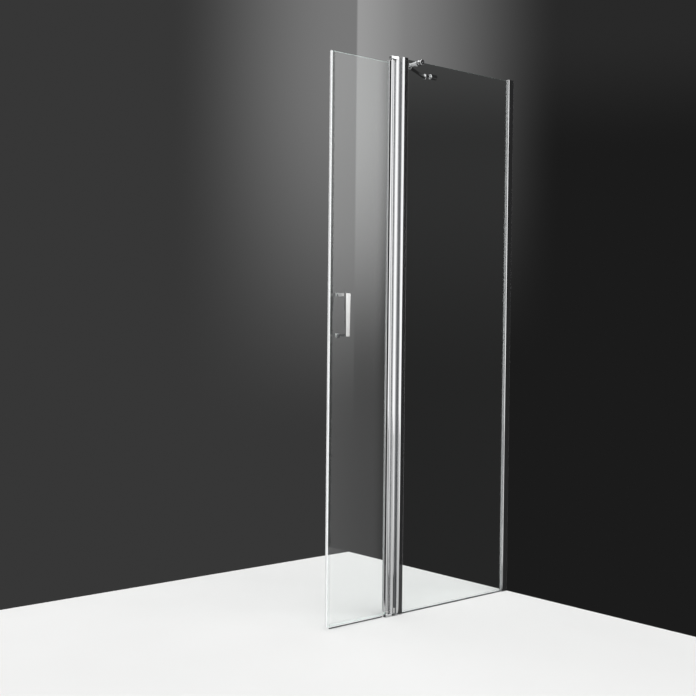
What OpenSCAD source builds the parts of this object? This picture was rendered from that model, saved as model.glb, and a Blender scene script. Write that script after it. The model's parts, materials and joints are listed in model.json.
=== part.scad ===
// Shower screen for a 900 mm tray: a fixed glass panel on a wall channel, a hinge post,
// and a narrow glass door that swings on two pivot pins. A brace ties the glass to the wall.
// Origin: foot of the wall channel's back face. +X points into the wall, -Y is the outside
// of the shower, +Z is up. The back of the channel lies on X = 0 and the feet stand on Z = 0.

/* [Screen] */
// Distance from the wall to the hinge axis of the door
hinge_from_wall = 612; // [560:1:760]
// Width of the door, from its hinge axis to the end of its edge seal
door_w = 270; // [230:1:420]
// Height of the fixed glass above the tray
screen_h = 1900; // [1700:1:2050]
// How much lower the door glass ends than the fixed glass
door_drop = 23; // [19:1:40]
// Glass thickness
glass_t = 6; // [5:0.5:8]
// Chamfer on the ground edges of the glass
glass_chamfer = 0.6; // [0.2:0.1:1]

/* [Wall channel] */
// Depth of the channel, away from the wall
channel_d = 11.5; // [9:0.5:12]
// Outer width of the channel
channel_w = 13; // [12:0.5:18]
// Wall thickness of the channel
channel_t = 2; // [1.5:0.1:2.5]
// Radius of the holes for the wall screws
wall_hole_r = 2.6; // [2:0.1:3]
// Distance between neighbouring wall screws
wall_hole_pitch = 800; // [600:10:830]

/* [Wall profile] */
// Depth of the profile that sleeves over the channel, measured from the wall
profile_d = 28; // [26:0.5:36]
// Wall thickness of the sleeve
profile_t = 1.8; // [1.4:0.1:2.5]
// Clearance between the sleeve and the channel
sleeve_gap = 0.2; // [0.1:0.05:0.5]
// Depth of the pocket that takes the glass
pocket_d = 13; // [10:0.5:14]
// Thickness of one gasket beside the glass
gasket_t = 2; // [1.5:0.1:2.5]
// Corner radius of the profiles
profile_r = 3; // [1:0.5:4]
// Thickness of the caps on top of the profiles
cap_t = 4; // [2:0.5:6]
// Radius of the shank of the screws that hold the sleeve to the channel
side_screw_r = 1.9; // [1.5:0.1:2.2]

/* [Post] */
// Distance between the hinge axis and the middle of the post tube
arm_reach = 22; // [21:0.5:30]
// Outer radius of the post tube
tube_r = 9.5; // [8:0.5:11]
// Wall thickness of the post tube
tube_t = 1.9; // [1.5:0.1:2.5]
// Distance from the middle of the tube to the round front of the glass profile
post_gap = 20.5; // [18:0.5:24]
// Width of the glass profile along the screen
post_w = 25.5; // [24:0.5:34]
// Depth of the glass profile across the screen
post_d = 17; // [16:0.5:24]
// Thickness of the fin that joins the tube to the glass profile
fin_t = 3; // [2:0.1:4]
// How far the fin enters its groove
fin_grip = 3.5; // [2:0.1:4]
// Thickness of the foot plate
foot_t = 2; // [1.5:0.1:3]

/* [Hinge] */
// Thickness of the top pivot arm
arm_t = 10; // [8:0.5:14]
// Thickness of the bottom pivot arm
foot_arm_t = 8; // [6:0.5:12]
// Height of the top arm's boss above the end of the tube
boss_h = 14; // [12:0.5:24]
// Height of the bottom arm's boss, from the foot plate to the end of the tube
foot_boss_h = 22; // [14:0.5:30]
// Clear height between the top arm and the door profile
top_gap = 7; // [5:0.5:12]
// Height of the collar that carries the door on the bottom arm
collar_h = 8.5; // [4:0.5:12]
// Radius of the pivot pins
pin_r = 4; // [3:0.1:4.5]
// Radial running clearance between a pin and its bush
pin_gap = 0.05; // [0.02:0.01:0.1]
// Length of a bush inside the door profile
bush_len = 24; // [16:1:40]
// Thickness of a bush's flange
bush_flange_t = 1.5; // [1:0.1:3]
// Radius of the door profile's round nose
nose_r = 9.5; // [8.5:0.1:10]
// Wall of the nose around the bushes
nose_t = 2.6; // [1.6:0.1:3]
// Distance from the hinge axis to the end of the glass lips
lip_reach = 17; // [14.5:0.5:26]
// Half the thickness of the door profile at its glass lips
lip_half = 5.4; // [5.3:0.1:6.7]
// Radius of the fine groove along the door profile's nose
groove_r = 0.5; // [0.3:0.1:0.8]
// Gasket thickness in the door profile
door_gasket_t = 1; // [0.8:0.1:1.2]

/* [Door seals] */
// Wall thickness of the clear seals
seal_t = 1.2; // [0.8:0.1:1.6]
// How far a seal grips the glass
seal_grip = 10; // [6:0.5:14]
// Width of the magnet housing beyond the glass
magnet_w = 4; // [3:0.5:12]
// Clear height between the bottom arm and the door glass
glass_clear = 0.8; // [0.4:0.1:3]
// Clearance between the wiper lip and the tray
wiper_gap = 1.5; // [1:0.1:3]

/* [Handle] */
// Distance from the door's free glass edge to the handle's middle line
handle_inset = 36; // [30:1:60]
// Height of the upper fixing above the tray
handle_z = 1093; // [800:1:1300]
// Distance between the two fixings
handle_pitch = 132; // [100:1:200]
// Distance from the glass to the front of the bar
handle_reach = 48; // [40:1:70]
// Width of the bar at its top
bar_w_top = 20.5; // [14:0.5:26]
// Width of the bar at its bottom
bar_w_foot = 16; // [12:0.5:24]
// Thickness of the bar at its top
bar_t_top = 10; // [7:0.5:12]
// Thickness of the bar at its bottom
bar_t_foot = 5; // [4:0.5:8]
// Edge radius of the bar
bar_edge_r = 1.8; // [1:0.1:1.9]
// Height of the upper arm
upper_arm_h = 11; // [9:0.5:14]
// Width of the upper arm
upper_arm_w = 10; // [8:0.5:14]
// Radius of the lower stand-off
lower_arm_r = 3.6; // [3.4:0.1:6]
// Radius of the handle bolts
bolt_r = 2.5; // [2:0.1:2.6]
// Radius of the handle holes in the glass
glass_hole_r = 5; // [4.5:0.5:8]

/* [Brace] */
// Distance from the wall to the glass clamp
clamp_from_wall = 487; // [380:1:500]
// Distance from the screen to the wall fixing, along the wall
brace_wall_y = 402; // [300:1:600]
// Height of the wall fixing above the top of the glass
brace_rise = 76; // [30:1:150]
// Depth of the clamp's middle line below the top edge of the glass
clamp_bite = 4; // [2:0.5:5]
// Radius of the clamp and of the wall cup
clamp_r = 10; // [9:0.5:14]
// Length of the clamp on the outside of the glass
clamp_out = 19; // [14:0.5:24]
// Length of the clamp's full diameter on the inside of the glass
clamp_in = 13; // [9:0.5:18]
// Radius of the clamp's neck
neck_r = 6.5; // [5:0.5:8]
// Length of the clamp's neck
neck_len = 17; // [10:0.5:24]
// Radius of the stems
stem_r = 3.5; // [3:0.1:4.5]
// Distance from the screen to the inner swivel
clamp_reach = 46; // [42:1:60]
// Depth of the wall cup
cup_d = 34; // [24:0.5:40]
// Distance from the wall to the wall swivel
cup_reach = 62; // [50:1:80]
// Radius of the brace tube
brace_r = 5.5; // [4.5:0.1:7]
// Radius of the swivel bosses
swivel_r = 6; // [5.5:0.1:8]
// Height of one swivel boss
swivel_h = 8; // [7:0.5:10]
// Radius of the brace's necks, beside its swivel bosses
brace_neck_r = 3; // [2.5:0.1:3.5]
// Thickness of the rubber liner in the clamp
liner_t = 0.7; // [0.5:0.1:1]

/* [Hidden] */
$fn = 64;

// Small clearances shared by the pieces
slip = 0.05;        // pushed together by hand
rub = 0.4;          // between pieces that swing past each other
over = 1;           // how far a cutter runs past the face it cuts
glass_play = 1;     // between the edge of the fixed glass and the floor of its pocket
trim_play = 0.5;    // between a seal's end and the profile beside it
edge_r = 1;         // small rounding or bevel on caps, clamps and seals
half_glass = glass_t / 2;
pocket_half = half_glass + gasket_t;

// Places along the screen
hinge_x = -hinge_from_wall;
tube_x = hinge_x + arm_reach;
post_x = tube_x + post_gap;
post_end_x = post_x + post_w;
fixed_x0 = post_end_x - pocket_d + glass_play;
fixed_x1 = -profile_d + pocket_d - glass_play;
edge_x = hinge_x - door_w;
door_x0 = edge_x + magnet_w + seal_t;

// Heights
fixed_z0 = foot_t + glass_play;
door_z1 = screen_h - door_drop;
tube_z0 = foot_t + foot_boss_h;
cap_z = screen_h + cap_t;
boss_bevel = 1.5;
boss_top = cap_z - boss_bevel;
tube_z1 = boss_top - boss_h;
arm_z0 = foot_t;
arm_z1 = boss_top - boss_bevel - arm_t;
door_profile_z1 = arm_z1 - top_gap;
arm_z2 = arm_z0 + foot_arm_t;
collar_z1 = arm_z2 + collar_h;
door_profile_z0 = collar_z1 + bush_flange_t;
door_z0 = arm_z2 + glass_clear;

// Bushes, pins and the door's edge in the door profile
bush_r = nose_r - nose_t;
nose_web = 1.4;     // wall between the bush's bore and the slot for the glass
slot_x = hinge_x - bush_r - nose_web;
door_x1 = slot_x - 4 * slip;
collar_r = bush_r + nose_web - rub; // of the pin's collar and the bushes' flanges
pin_bevel = 0.8;
pin_short = 2;      // how far a pin ends before its bush does
spigot_len = 22;
pin_grip = arm_t - 3;
foot_pin_grip = foot_arm_t - 2;
set_screw_r = 2.4;
set_screw_heights = [tube_z0 + spigot_len / 2, tube_z1 - spigot_len / 2];
hex_r = 1.5;        // sockets of the grub and cap screws, across their corners

// Handle
handle_x = door_x0 + handle_inset;
bar_y = -half_glass - handle_reach;
handle_low_z = handle_z - handle_pitch;
rosette_t = 2;
rosette_r = glass_hole_r + 2;
sleeve_flange_t = 0.8;
inner_cap_r = glass_hole_r + 4;
inner_cap_t = 4;
head_seat = 1.5;    // floor of the inner cap under a bolt's head
head_r = 2 * bolt_r - 0.2;
head_t = 2.3;
tenon_r = 2.2;      // tenons of the arms in the bar
arm_root = -half_glass - rosette_t;
bolt_bite = 14;     // how deep a bolt's hole enters its arm

// Brace
clamp_x = -clamp_from_wall;
clamp_z = screen_h - clamp_bite;
cup_z = screen_h + brace_rise;
swivel_gap = 0.1;
swivel_pin_r = 2;
stem_end = [clamp_x, clamp_reach, clamp_z];
cup_end = [-cup_reach, brace_wall_y, cup_z];
bar_start = stem_end - [0, 0, swivel_h + swivel_gap];
bar_stop = cup_end - [0, 0, swivel_h + swivel_gap];
brace_t = 1.2;
fitting_len = 22;
fitting_neck = 13;
fitting_cone = 2;
plug_len = 14;
grub_r = 2.5;
cup_wall = 1.4;
cup_floor = 6;
base_d = 6;
cup_screw_r = 1.5;
cup_screw_len = 4.2;

// Wall channel
wall_hole_z0 = screen_h / 2 - wall_hole_pitch;
side_screw_x = -channel_t - (channel_d - channel_t) / 2;
side_screw_inset = 60;
side_screw_heights = [side_screw_inset, screen_h / 2, screen_h - side_screw_inset];
sleeve_half = channel_w / 2 + sleeve_gap + profile_t;
sleeve_end = 1.5;   // how far the sleeve stays off the wall
web_t = 1.6;        // web between the glass pocket and the channel

// A bar of rounded-rectangle section, standing on z0, with its corners at x0, y0 and x1, y1
module rounded_section(x0, x1, y0, y1, r) {
    translate([x0 + r, y0]) square([x1 - x0 - 2 * r, y1 - y0]);
    translate([x0, y0 + r]) square([x1 - x0, y1 - y0 - 2 * r]);
    for (x = [x0 + r, x1 - r], y = [y0 + r, y1 - r]) translate([x, y]) circle(r);
}

// A box between two corners
module block(low, high) {
    translate(low) cube(high - low);
}

// A cylinder along X, Y or Z that starts at a point
module rod_x(p, len, r) { translate(p) rotate([0, 90, 0]) cylinder(r = r, h = len); }
module rod_y(p, len, r) { translate(p) rotate([-90, 0, 0]) cylinder(r = r, h = len); }
module rod_z(p, len, r) { translate(p) cylinder(r = r, h = len); }

// A shape turned about Y from a list of [radius, distance] points
module turned_y(p, points) {
    translate(p) rotate([-90, 0, 0]) rotate_extrude() polygon(points);
}

// A shape turned about X from a list of [radius, distance] points
module turned_x(p, points) {
    translate(p) rotate([0, 90, 0]) rotate_extrude() polygon(points);
}

// A shape turned about Z from a list of [radius, height] points
module turned_z(p, points) {
    translate(p) rotate_extrude() polygon(points);
}

// A pane with chamfers on all its edges
module pane(x0, x1, z0, z1) {
    c = glass_chamfer;
    h = half_glass;
    intersection() {
        translate([0, 0, z0]) linear_extrude(z1 - z0) polygon([
            [x0 + c, -h], [x1 - c, -h], [x1, -h + c], [x1, h - c],
            [x1 - c, h], [x0 + c, h], [x0, h - c], [x0, -h + c],
        ]);
        translate([x0, 0, 0]) rotate([90, 0, 90]) linear_extrude(x1 - x0) polygon([
            [-h + c, z0], [h - c, z0], [h, z0 + c], [h, z1 - c],
            [h - c, z1], [-h + c, z1], [-h, z1 - c], [-h, z0 + c],
        ]);
    }
}

// Two gasket strips, one on each side of the glass, with a groove behind a solid lip
module gasket_pair(x_mouth, x_inner, z0, z1, t) {
    towards = x_inner > x_mouth ? 1 : -1;
    lip_w = 3;
    near = half_glass + slip;
    far = half_glass + t - slip;
    groove = half_glass + t * 0.6;
    for (side = [-1, 1])
        translate([0, 0, z0]) linear_extrude(z1 - z0) polygon([
            [x_inner, side * near], [x_mouth, side * near], [x_mouth, side * far],
            [x_mouth + towards * lip_w, side * far], [x_mouth + towards * lip_w, side * groove],
            [x_inner, side * groove],
        ]);
}

// Wall side
module wall_channel() {
    color("lightsteelblue") difference() {
        block([-channel_d, -channel_w / 2, 0], [0, channel_w / 2, screen_h]);
        block([-channel_d - over, -channel_w / 2 + channel_t, -over],
              [-channel_t, channel_w / 2 - channel_t, screen_h + over]);
        for (i = [0:2])
            rod_x([-channel_t - over, 0, wall_hole_z0 + i * wall_hole_pitch],
                  channel_t + 2 * over, wall_hole_r);
        for (z = side_screw_heights)
            rod_y([side_screw_x, 0, z], channel_w, side_screw_r + slip);
    }
}

module wall_profile() {
    sleeve_x = -profile_d + pocket_d + web_t;
    color("gainsboro") difference() {
        linear_extrude(screen_h) difference() {
            union() {
                rounded_section(-profile_d, -profile_d + pocket_d, -sleeve_half, sleeve_half,
                                profile_r);
                translate([-profile_d + profile_r, -sleeve_half])
                    square([profile_d - profile_r - sleeve_end, 2 * sleeve_half]);
            }
            translate([-profile_d - over, -pocket_half])
                square([pocket_d + over, 2 * pocket_half]);
            translate([sleeve_x, -channel_w / 2 - sleeve_gap])
                square([profile_d, channel_w + 2 * sleeve_gap]);
        }
        for (z = side_screw_heights) {
            rod_y([side_screw_x, 0, z], sleeve_half + over, side_screw_r + slip);
            side_screw_head(z, slip, over);
        }
    }
}

// A flat cap with a stepped top edge
module wall_profile_cap() {
    r = profile_r - edge_r / 2;
    color("gainsboro") translate([0, 0, screen_h]) {
        linear_extrude(cap_t - edge_r)
            rounded_section(-profile_d, -rub, -sleeve_half, sleeve_half, profile_r);
        translate([0, 0, cap_t - edge_r]) linear_extrude(edge_r)
            rounded_section(-profile_d + edge_r, -rub - edge_r,
                            -sleeve_half + edge_r, sleeve_half - edge_r, r);
    }
}

// A countersunk head in the sleeve, with its cone's base in the sleeve's outer face
head_cone_t = profile_t * 0.8;

module side_screw_head(z, gap, run_out) {
    translate([side_screw_x, sleeve_half - head_cone_t, z]) rotate([-90, 0, 0])
        cylinder(r1 = side_screw_r + gap, r2 = side_screw_r + gap + head_cone_t + run_out,
                 h = head_cone_t + run_out);
}

module side_screws() {
    tip_y = channel_w / 2 - channel_t - edge_r;
    cross_w = 0.6;
    cross_l = 2.2;
    cross_d = 0.9;
    color("silver") for (z = side_screw_heights) difference() {
        union() {
            rod_y([side_screw_x, tip_y, z], sleeve_half - head_cone_t - tip_y, side_screw_r);
            side_screw_head(z, 0, 0);
        }
        for (w = [cross_w, cross_l])
            block([side_screw_x - w / 2, sleeve_half - cross_d, z - (cross_w + cross_l - w) / 2],
                  [side_screw_x + w / 2, sleeve_half + over, z + (cross_w + cross_l - w) / 2]);
    }
}

module wall_gaskets() {
    color("dimgray") gasket_pair(-profile_d, fixed_x1 - slip, fixed_z0, screen_h, gasket_t);
}

// Fixed glass
module fixed_glass() {
    color("lightcyan", 0.3) pane(fixed_x0, fixed_x1, fixed_z0, screen_h);
}

module fixed_bottom_seal() {
    reach = half_glass + seal_t;
    lip_h = 6;
    color("whitesmoke", 0.7) difference() {
        block([post_end_x + trim_play, -reach, 0],
              [-profile_d - trim_play, reach, fixed_z0 + lip_h]);
        block([post_end_x, -half_glass - slip, fixed_z0 - slip],
              [-profile_d, half_glass + slip, fixed_z0 + lip_h + over]);
    }
}

// Hinge post
module post_gaskets() {
    color("dimgray") gasket_pair(post_end_x, fixed_x0 + slip, fixed_z0, screen_h, gasket_t);
}

fin_y = 1.5;         // near face of the fin, on the inside of the screen
fin_end_x = post_x + fin_grip;

// The outline of the glass profile: a round front towards the tube and small corners behind
module post_outline(inset) {
    half = post_d / 2 - inset;
    middle = post_x + post_d / 2;
    translate([middle, 0]) circle(half);
    rounded_section(middle - edge_r, post_end_x - inset, -half, half, edge_r);
}

module post_profile() {
    color("gainsboro") translate([0, 0, foot_t]) linear_extrude(screen_h - foot_t) difference() {
        post_outline(0);
        translate([post_end_x - pocket_d, -pocket_half]) square([pocket_d + over, 2 * pocket_half]);
        translate([post_x - over, fin_y - slip])
            square([fin_grip + over + slip, fin_t + 2 * slip]);
    }
}

module post_cap() {
    color("gainsboro") translate([0, 0, screen_h]) {
        linear_extrude(cap_t - edge_r) post_outline(0);
        translate([0, 0, cap_t - edge_r]) linear_extrude(edge_r) post_outline(edge_r);
    }
}

seal_foot_w = 3;
seal_foot_d = 1.1;

module post_tube() {
    color("gainsboro") difference() {
        translate([0, 0, tube_z0]) linear_extrude(tube_z1 - tube_z0) difference() {
            union() {
                translate([tube_x, 0]) circle(tube_r);
                translate([tube_x, fin_y]) square([fin_end_x - tube_x, fin_t]);
            }
            translate([tube_x, 0]) circle(tube_r - tube_t);
            translate([tube_x - tube_r - over, -seal_foot_w / 2 - slip])
                square([over + seal_foot_d + slip, seal_foot_w + 2 * slip]);
        }
        for (z = set_screw_heights)
            rod_y([tube_x, 0, z], tube_r + over, set_screw_r + slip);
    }
}

// A clear lip from the tube to the door profile's round nose
module post_seal() {
    root_x = tube_x - tube_r;
    tip_x = hinge_x + nose_r + rub;
    shoulder = 0.6;
    tip_half = 0.5;
    color("whitesmoke", 0.8) translate([0, 0, tube_z0]) linear_extrude(tube_z1 - tube_z0) polygon([
        [root_x + seal_foot_d, -seal_foot_w / 2], [root_x + seal_foot_d, seal_foot_w / 2],
        [root_x - shoulder, seal_foot_w / 2], [tip_x, tip_half],
        [tip_x, -tip_half], [root_x - shoulder, -seal_foot_w / 2],
    ]);
}

module foot_plate() {
    half = max(tube_r, post_d / 2 + edge_r);
    color("silver") linear_extrude(foot_t) {
        translate([hinge_x, 0]) circle(tube_r);
        translate([hinge_x, -tube_r]) square([arm_reach, 2 * tube_r]);
        rounded_section(tube_x - edge_r, post_end_x, -half, half, edge_r);
    }
}

// The straight part of an arm, from the hinge axis to the middle of the tube
module arm_bar(z, t) {
    rod_z([hinge_x, 0, z], t, tube_r);
    block([hinge_x, -tube_r, z], [tube_x, tube_r, z + t]);
}

module top_pivot_arm() {
    color("gainsboro") difference() {
        union() {
            turned_z([tube_x, 0, boss_top], [[0, -boss_h], [tube_r, -boss_h],
                [tube_r, -boss_bevel], [tube_r - boss_bevel, 0], [0, 0]]);
            arm_bar(arm_z1, arm_t);
            rod_z([tube_x, 0, tube_z1 - spigot_len], spigot_len, tube_r - tube_t - slip);
        }
        rod_z([hinge_x, 0, arm_z1 - over], pin_grip + over, pin_r + slip / 2);
        rod_y([tube_x, 0, set_screw_heights[1]], tube_r, set_screw_r + slip);
    }
}

module bottom_pivot_arm() {
    color("gainsboro") difference() {
        union() {
            arm_bar(arm_z0, foot_arm_t);
            rod_z([tube_x, 0, arm_z0], foot_boss_h, tube_r);
            rod_z([tube_x, 0, tube_z0], spigot_len, tube_r - tube_t - slip);
        }
        rod_z([hinge_x, 0, arm_z2 - foot_pin_grip], foot_pin_grip + over, pin_r + slip / 2);
        rod_y([tube_x, 0, set_screw_heights[0]], tube_r, set_screw_r + slip);
    }
}

// A hexagon socket that opens towards +Y or -Y, from its floor at p
module socket_y(p, side) {
    translate(p) rotate([-side * 90, 0, 0]) cylinder(r = hex_r, h = 4, $fn = 6);
}

module arm_set_screws() {
    outer = tube_r - trim_play;
    socket_d = 1.8;
    color("dimgray") for (z = set_screw_heights) difference() {
        rod_y([tube_x, over, z], outer - over, set_screw_r);
        socket_y([tube_x, outer - socket_d, z], 1);
    }
}

module top_pivot_pin() {
    low = door_profile_z1 - bush_len + pin_short;
    top = arm_z1 + pin_grip - slip;
    color("silver") turned_z([hinge_x, 0, 0], [[0, low], [pin_r - pin_bevel, low],
        [pin_r, low + pin_bevel], [pin_r, top], [0, top]]);
}

module bottom_pivot_pin() {
    low = arm_z2 - foot_pin_grip + slip;
    top = door_profile_z0 + bush_len - pin_short;
    color("silver") turned_z([hinge_x, 0, 0], [[0, low], [pin_r, low], [pin_r, arm_z2],
        [collar_r, arm_z2], [collar_r, collar_z1], [pin_r, collar_z1],
        [pin_r, top - pin_bevel], [pin_r - pin_bevel, top], [0, top]]);
}

// A flanged nylon bush whose flange points up or down
module pivot_bush(z, up) {
    color("white") turned_z([hinge_x, 0, z], [[pin_r + pin_gap, -up * bush_len],
        [bush_r - slip, -up * bush_len], [bush_r - slip, 0], [collar_r, 0],
        [collar_r, up * bush_flange_t], [pin_r + pin_gap, up * bush_flange_t]]);
}

module top_pivot_bush() { pivot_bush(door_profile_z1, 1); }
module bottom_pivot_bush() { pivot_bush(door_profile_z0, -1); }

// Door
door_slot_half = half_glass + door_gasket_t;
groove_turn = 240;  // where the fine groove lies on the nose, on the outside of the screen

module door_profile() {
    color("gainsboro") translate([hinge_x, 0, door_profile_z0])
        linear_extrude(door_profile_z1 - door_profile_z0) difference() {
            union() {
                circle(nose_r);
                rounded_section(-lip_reach, 0, -lip_half, lip_half, edge_r);
            }
            circle(bush_r);
            rotate(groove_turn) translate([nose_r, 0]) circle(groove_r);
            translate([-lip_reach - over, -door_slot_half])
                square([slot_x - hinge_x + lip_reach + over, 2 * door_slot_half]);
        }
}

module door_gaskets() {
    color("dimgray") gasket_pair(hinge_x - lip_reach, door_x1 - slip, door_profile_z0, door_z1,
                                 door_gasket_t);
}

module door_glass() {
    color("lightcyan", 0.3) difference() {
        pane(door_x0, door_x1, door_z0, door_z1);
        for (z = [handle_z, handle_low_z])
            rod_y([handle_x, -half_glass - over, z], glass_t + 2 * over, glass_hole_r);
    }
}

module door_edge_seal() {
    outer = half_glass + seal_t;
    color("whitesmoke", 0.8) translate([0, 0, door_z0]) linear_extrude(door_z1 - door_z0)
        difference() {
            rounded_section(edge_x, door_x0 + seal_grip, -outer, outer, edge_r);
            translate([door_x0 - slip, -half_glass - slip])
                square([seal_grip + over, glass_t + 2 * slip]);
            translate([edge_x + seal_t, -half_glass])
                square([magnet_w - seal_t, glass_t]);
        }
}

module door_edge_magnet() {
    color("white") block(
        [edge_x + seal_t + slip, -half_glass + slip, door_z0 + edge_r],
        [edge_x + magnet_w - slip, half_glass - slip, door_z1 - edge_r]);
}

// A clear seal on the door's lower edge, with a drip fin outside and a wiper under the middle
module door_bottom_seal() {
    outer = half_glass + seal_t;
    x0 = door_x0 + seal_grip + trim_play;
    x1 = hinge_x - lip_reach - trim_play;
    fin_drop = 7;
    fin_out = 2.5;
    knee = 3;
    wiper_half = 0.5;
    color("whitesmoke", 0.8) translate([x0, 0, 0]) rotate([90, 0, 90]) linear_extrude(x1 - x0)
        difference() {
            union() {
                translate([-outer, door_z0 - seal_t]) square([2 * outer, seal_t + seal_grip]);
                polygon([[-outer, door_z0], [-outer, door_z0 - knee],
                    [-outer - fin_out, door_z0 - fin_drop],
                    [-outer - fin_out + seal_t, door_z0 - fin_drop],
                    [-outer + seal_t, door_z0 - knee], [-outer + seal_t, door_z0]]);
                translate([-wiper_half, wiper_gap])
                    square([2 * wiper_half, door_z0 - wiper_gap - seal_t / 2]);
            }
            translate([-half_glass - slip, door_z0 - slip])
                square([glass_t + 2 * slip, seal_grip + over]);
        }
}

// Handle
module bar_corner(x, y, z) {
    translate([x, y, z]) sphere(bar_edge_r, $fn = 24);
}

module handle_bar() {
    r = bar_edge_r;
    top_z = handle_z + upper_arm_h / 2;
    low_z = handle_low_z - lower_arm_r;
    color("gainsboro") difference() {
        hull() for (side = [-1, 1]) {
            bar_corner(handle_x + side * (bar_w_top / 2 - r), bar_y + r, top_z - r);
            bar_corner(handle_x + side * (bar_w_top / 2 - r), bar_y + bar_t_top - r, top_z - r);
            bar_corner(handle_x + side * (bar_w_foot / 2 - r), bar_y + r, low_z + r);
            bar_corner(handle_x + side * (bar_w_foot / 2 - r), bar_y + bar_t_foot - r, low_z + r);
        }
        bar_mortise(handle_z, bar_t_top);
        bar_mortise(handle_low_z, bar_t_foot);
    }
}

// A blind round mortise that starts in the middle of the bar's thickness
module bar_mortise(z, thickness) {
    rod_y([handle_x, bar_y + thickness / 2, z], bar_t_top, tenon_r + slip);
}

// The tenon of an arm, from just above the mortise's floor to the arm's tip at y_tip
module bar_tenon(z, thickness, y_tip) {
    rod_y([handle_x, bar_y + thickness / 2 + slip, z], y_tip - bar_y - thickness / 2 + over, tenon_r);
}

module handle_upper_arm() {
    tip = bar_y + bar_t_top;
    color("gainsboro") difference() {
        union() {
            translate([0, arm_root, 0]) rotate([90, 0, 0]) linear_extrude(arm_root - tip)
                rounded_section(handle_x - upper_arm_w / 2, handle_x + upper_arm_w / 2,
                                handle_z - upper_arm_h / 2, handle_z + upper_arm_h / 2, edge_r);
            bar_tenon(handle_z, bar_t_top, tip);
        }
        rod_y([handle_x, arm_root - bolt_bite, handle_z], bolt_bite + over, bolt_r + slip);
    }
}

// The bar's back slopes, so the lower stand-off ends just clear of its thickest point
bar_back_slope = (bar_t_top - bar_t_foot) / (handle_pitch + upper_arm_h / 2 + lower_arm_r);
low_tip = bar_y + bar_t_foot + bar_back_slope * 2 * lower_arm_r + 2 * slip;

module handle_lower_arm() {
    color("gainsboro") difference() {
        union() {
            rod_y([handle_x, low_tip, handle_low_z], arm_root - low_tip, lower_arm_r);
            bar_tenon(handle_low_z, bar_t_foot, low_tip);
        }
        rod_y([handle_x, arm_root - bolt_bite, handle_low_z], bolt_bite + over, bolt_r + slip);
    }
}

module handle_rosettes() {
    bevel = 0.7;
    color("gainsboro") for (z = [handle_z, handle_low_z]) difference() {
        turned_y([handle_x, -half_glass, z], [[0, 0], [rosette_r, 0],
            [rosette_r, -rosette_t + bevel], [rosette_r - bevel, -rosette_t], [0, -rosette_t]]);
        rod_y([handle_x, arm_root - over, z], rosette_t + 2 * over, bolt_r + slip);
    }
}

module handle_sleeves() {
    color("white") for (z = [handle_z, handle_low_z]) turned_y([handle_x, 0, z], [
        [bolt_r + slip, -half_glass + slip], [glass_hole_r - slip, -half_glass + slip],
        [glass_hole_r - slip, half_glass], [rosette_r, half_glass],
        [rosette_r, half_glass + sleeve_flange_t], [bolt_r + slip, half_glass + sleeve_flange_t]]);
}

// Round caps inside the shower, each with a recess for its bolt's head
module handle_inner_caps() {
    recess_r = head_r + 2 * rub;
    color("gainsboro") for (z = [handle_z, handle_low_z])
        turned_y([handle_x, half_glass + sleeve_flange_t, z], [
            [bolt_r + slip, 0], [inner_cap_r, 0], [inner_cap_r, inner_cap_t - edge_r],
            [inner_cap_r - edge_r, inner_cap_t], [recess_r, inner_cap_t], [recess_r, head_seat],
            [bolt_r + slip, head_seat]]);
}

module handle_bolts() {
    seat = half_glass + sleeve_flange_t + head_seat;
    tip = arm_root - bolt_bite + over;
    socket_d = 1.3;
    color("silver") for (z = [handle_z, handle_low_z]) difference() {
        union() {
            rod_y([handle_x, tip, z], seat - tip, bolt_r);
            rod_y([handle_x, seat, z], head_t, head_r);
        }
        socket_y([handle_x, seat + head_t - socket_d, z], 1);
    }
}

// Brace
slot_half = half_glass + liner_t + slip;
slot_top = screen_h + liner_t + slip;

// A short upright boss with a hole for its swivel screw
module swivel_boss(p) {
    rod_z(p - [0, 0, swivel_h / 2], swivel_h, swivel_r);
}

module swivel_hole(p) {
    rod_z(p - [0, 0, swivel_h], 2 * swivel_h, swivel_pin_r + slip);
}

// The room that a neck leaves for the boss above its own boss and for the screw's head below
module swivel_clearance(p) {
    gap = swivel_h / 2 + swivel_gap / 2;
    rod_z(p + [0, 0, gap], swivel_h, swivel_r + rub);
    rod_z(p - [0, 0, gap + swivel_h], swivel_h, 2 * swivel_pin_r + rub);
}

module brace_glass_clamp() {
    r = clamp_r;
    neck_end = clamp_in + neck_len;
    ring_half = 0.6;    // a fine turned ring round the body, outside the glass
    ring_y = -slot_half - 2 - ring_half;
    color("gainsboro") difference() {
        union() {
            turned_y([clamp_x, 0, clamp_z], [
                [0, -clamp_out], [r - edge_r, -clamp_out], [r, -clamp_out + edge_r],
                [r, ring_y - ring_half], [r - ring_half, ring_y], [r, ring_y + ring_half],
                [r, clamp_in - edge_r], [r - edge_r, clamp_in], [neck_r, clamp_in],
                [neck_r, neck_end - edge_r], [neck_r - edge_r, neck_end], [stem_r, neck_end],
                [stem_r, clamp_reach - over], [0, clamp_reach - over],
            ]);
            swivel_boss(stem_end);
        }
        block([clamp_x - r - over, -slot_half, clamp_z - r - over],
              [clamp_x + r + over, slot_half, slot_top]);
        rod_y([clamp_x, -clamp_out - over, clamp_z], clamp_out, grub_r + slip);
        swivel_hole(stem_end);
    }
}

module brace_clamp_liner() {
    inner = half_glass + slip;
    color("dimgray") intersection() {
        rod_y([clamp_x, -slot_half, clamp_z], 2 * slot_half, clamp_r - rub);
        difference() {
            block([clamp_x - clamp_r, -slot_half + slip, clamp_z - clamp_r],
                  [clamp_x + clamp_r, slot_half - slip, slot_top - slip]);
            block([clamp_x - clamp_r - over, -inner, clamp_z - clamp_r - over],
                  [clamp_x + clamp_r + over, inner, screen_h + slip]);
        }
    }
}

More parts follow.
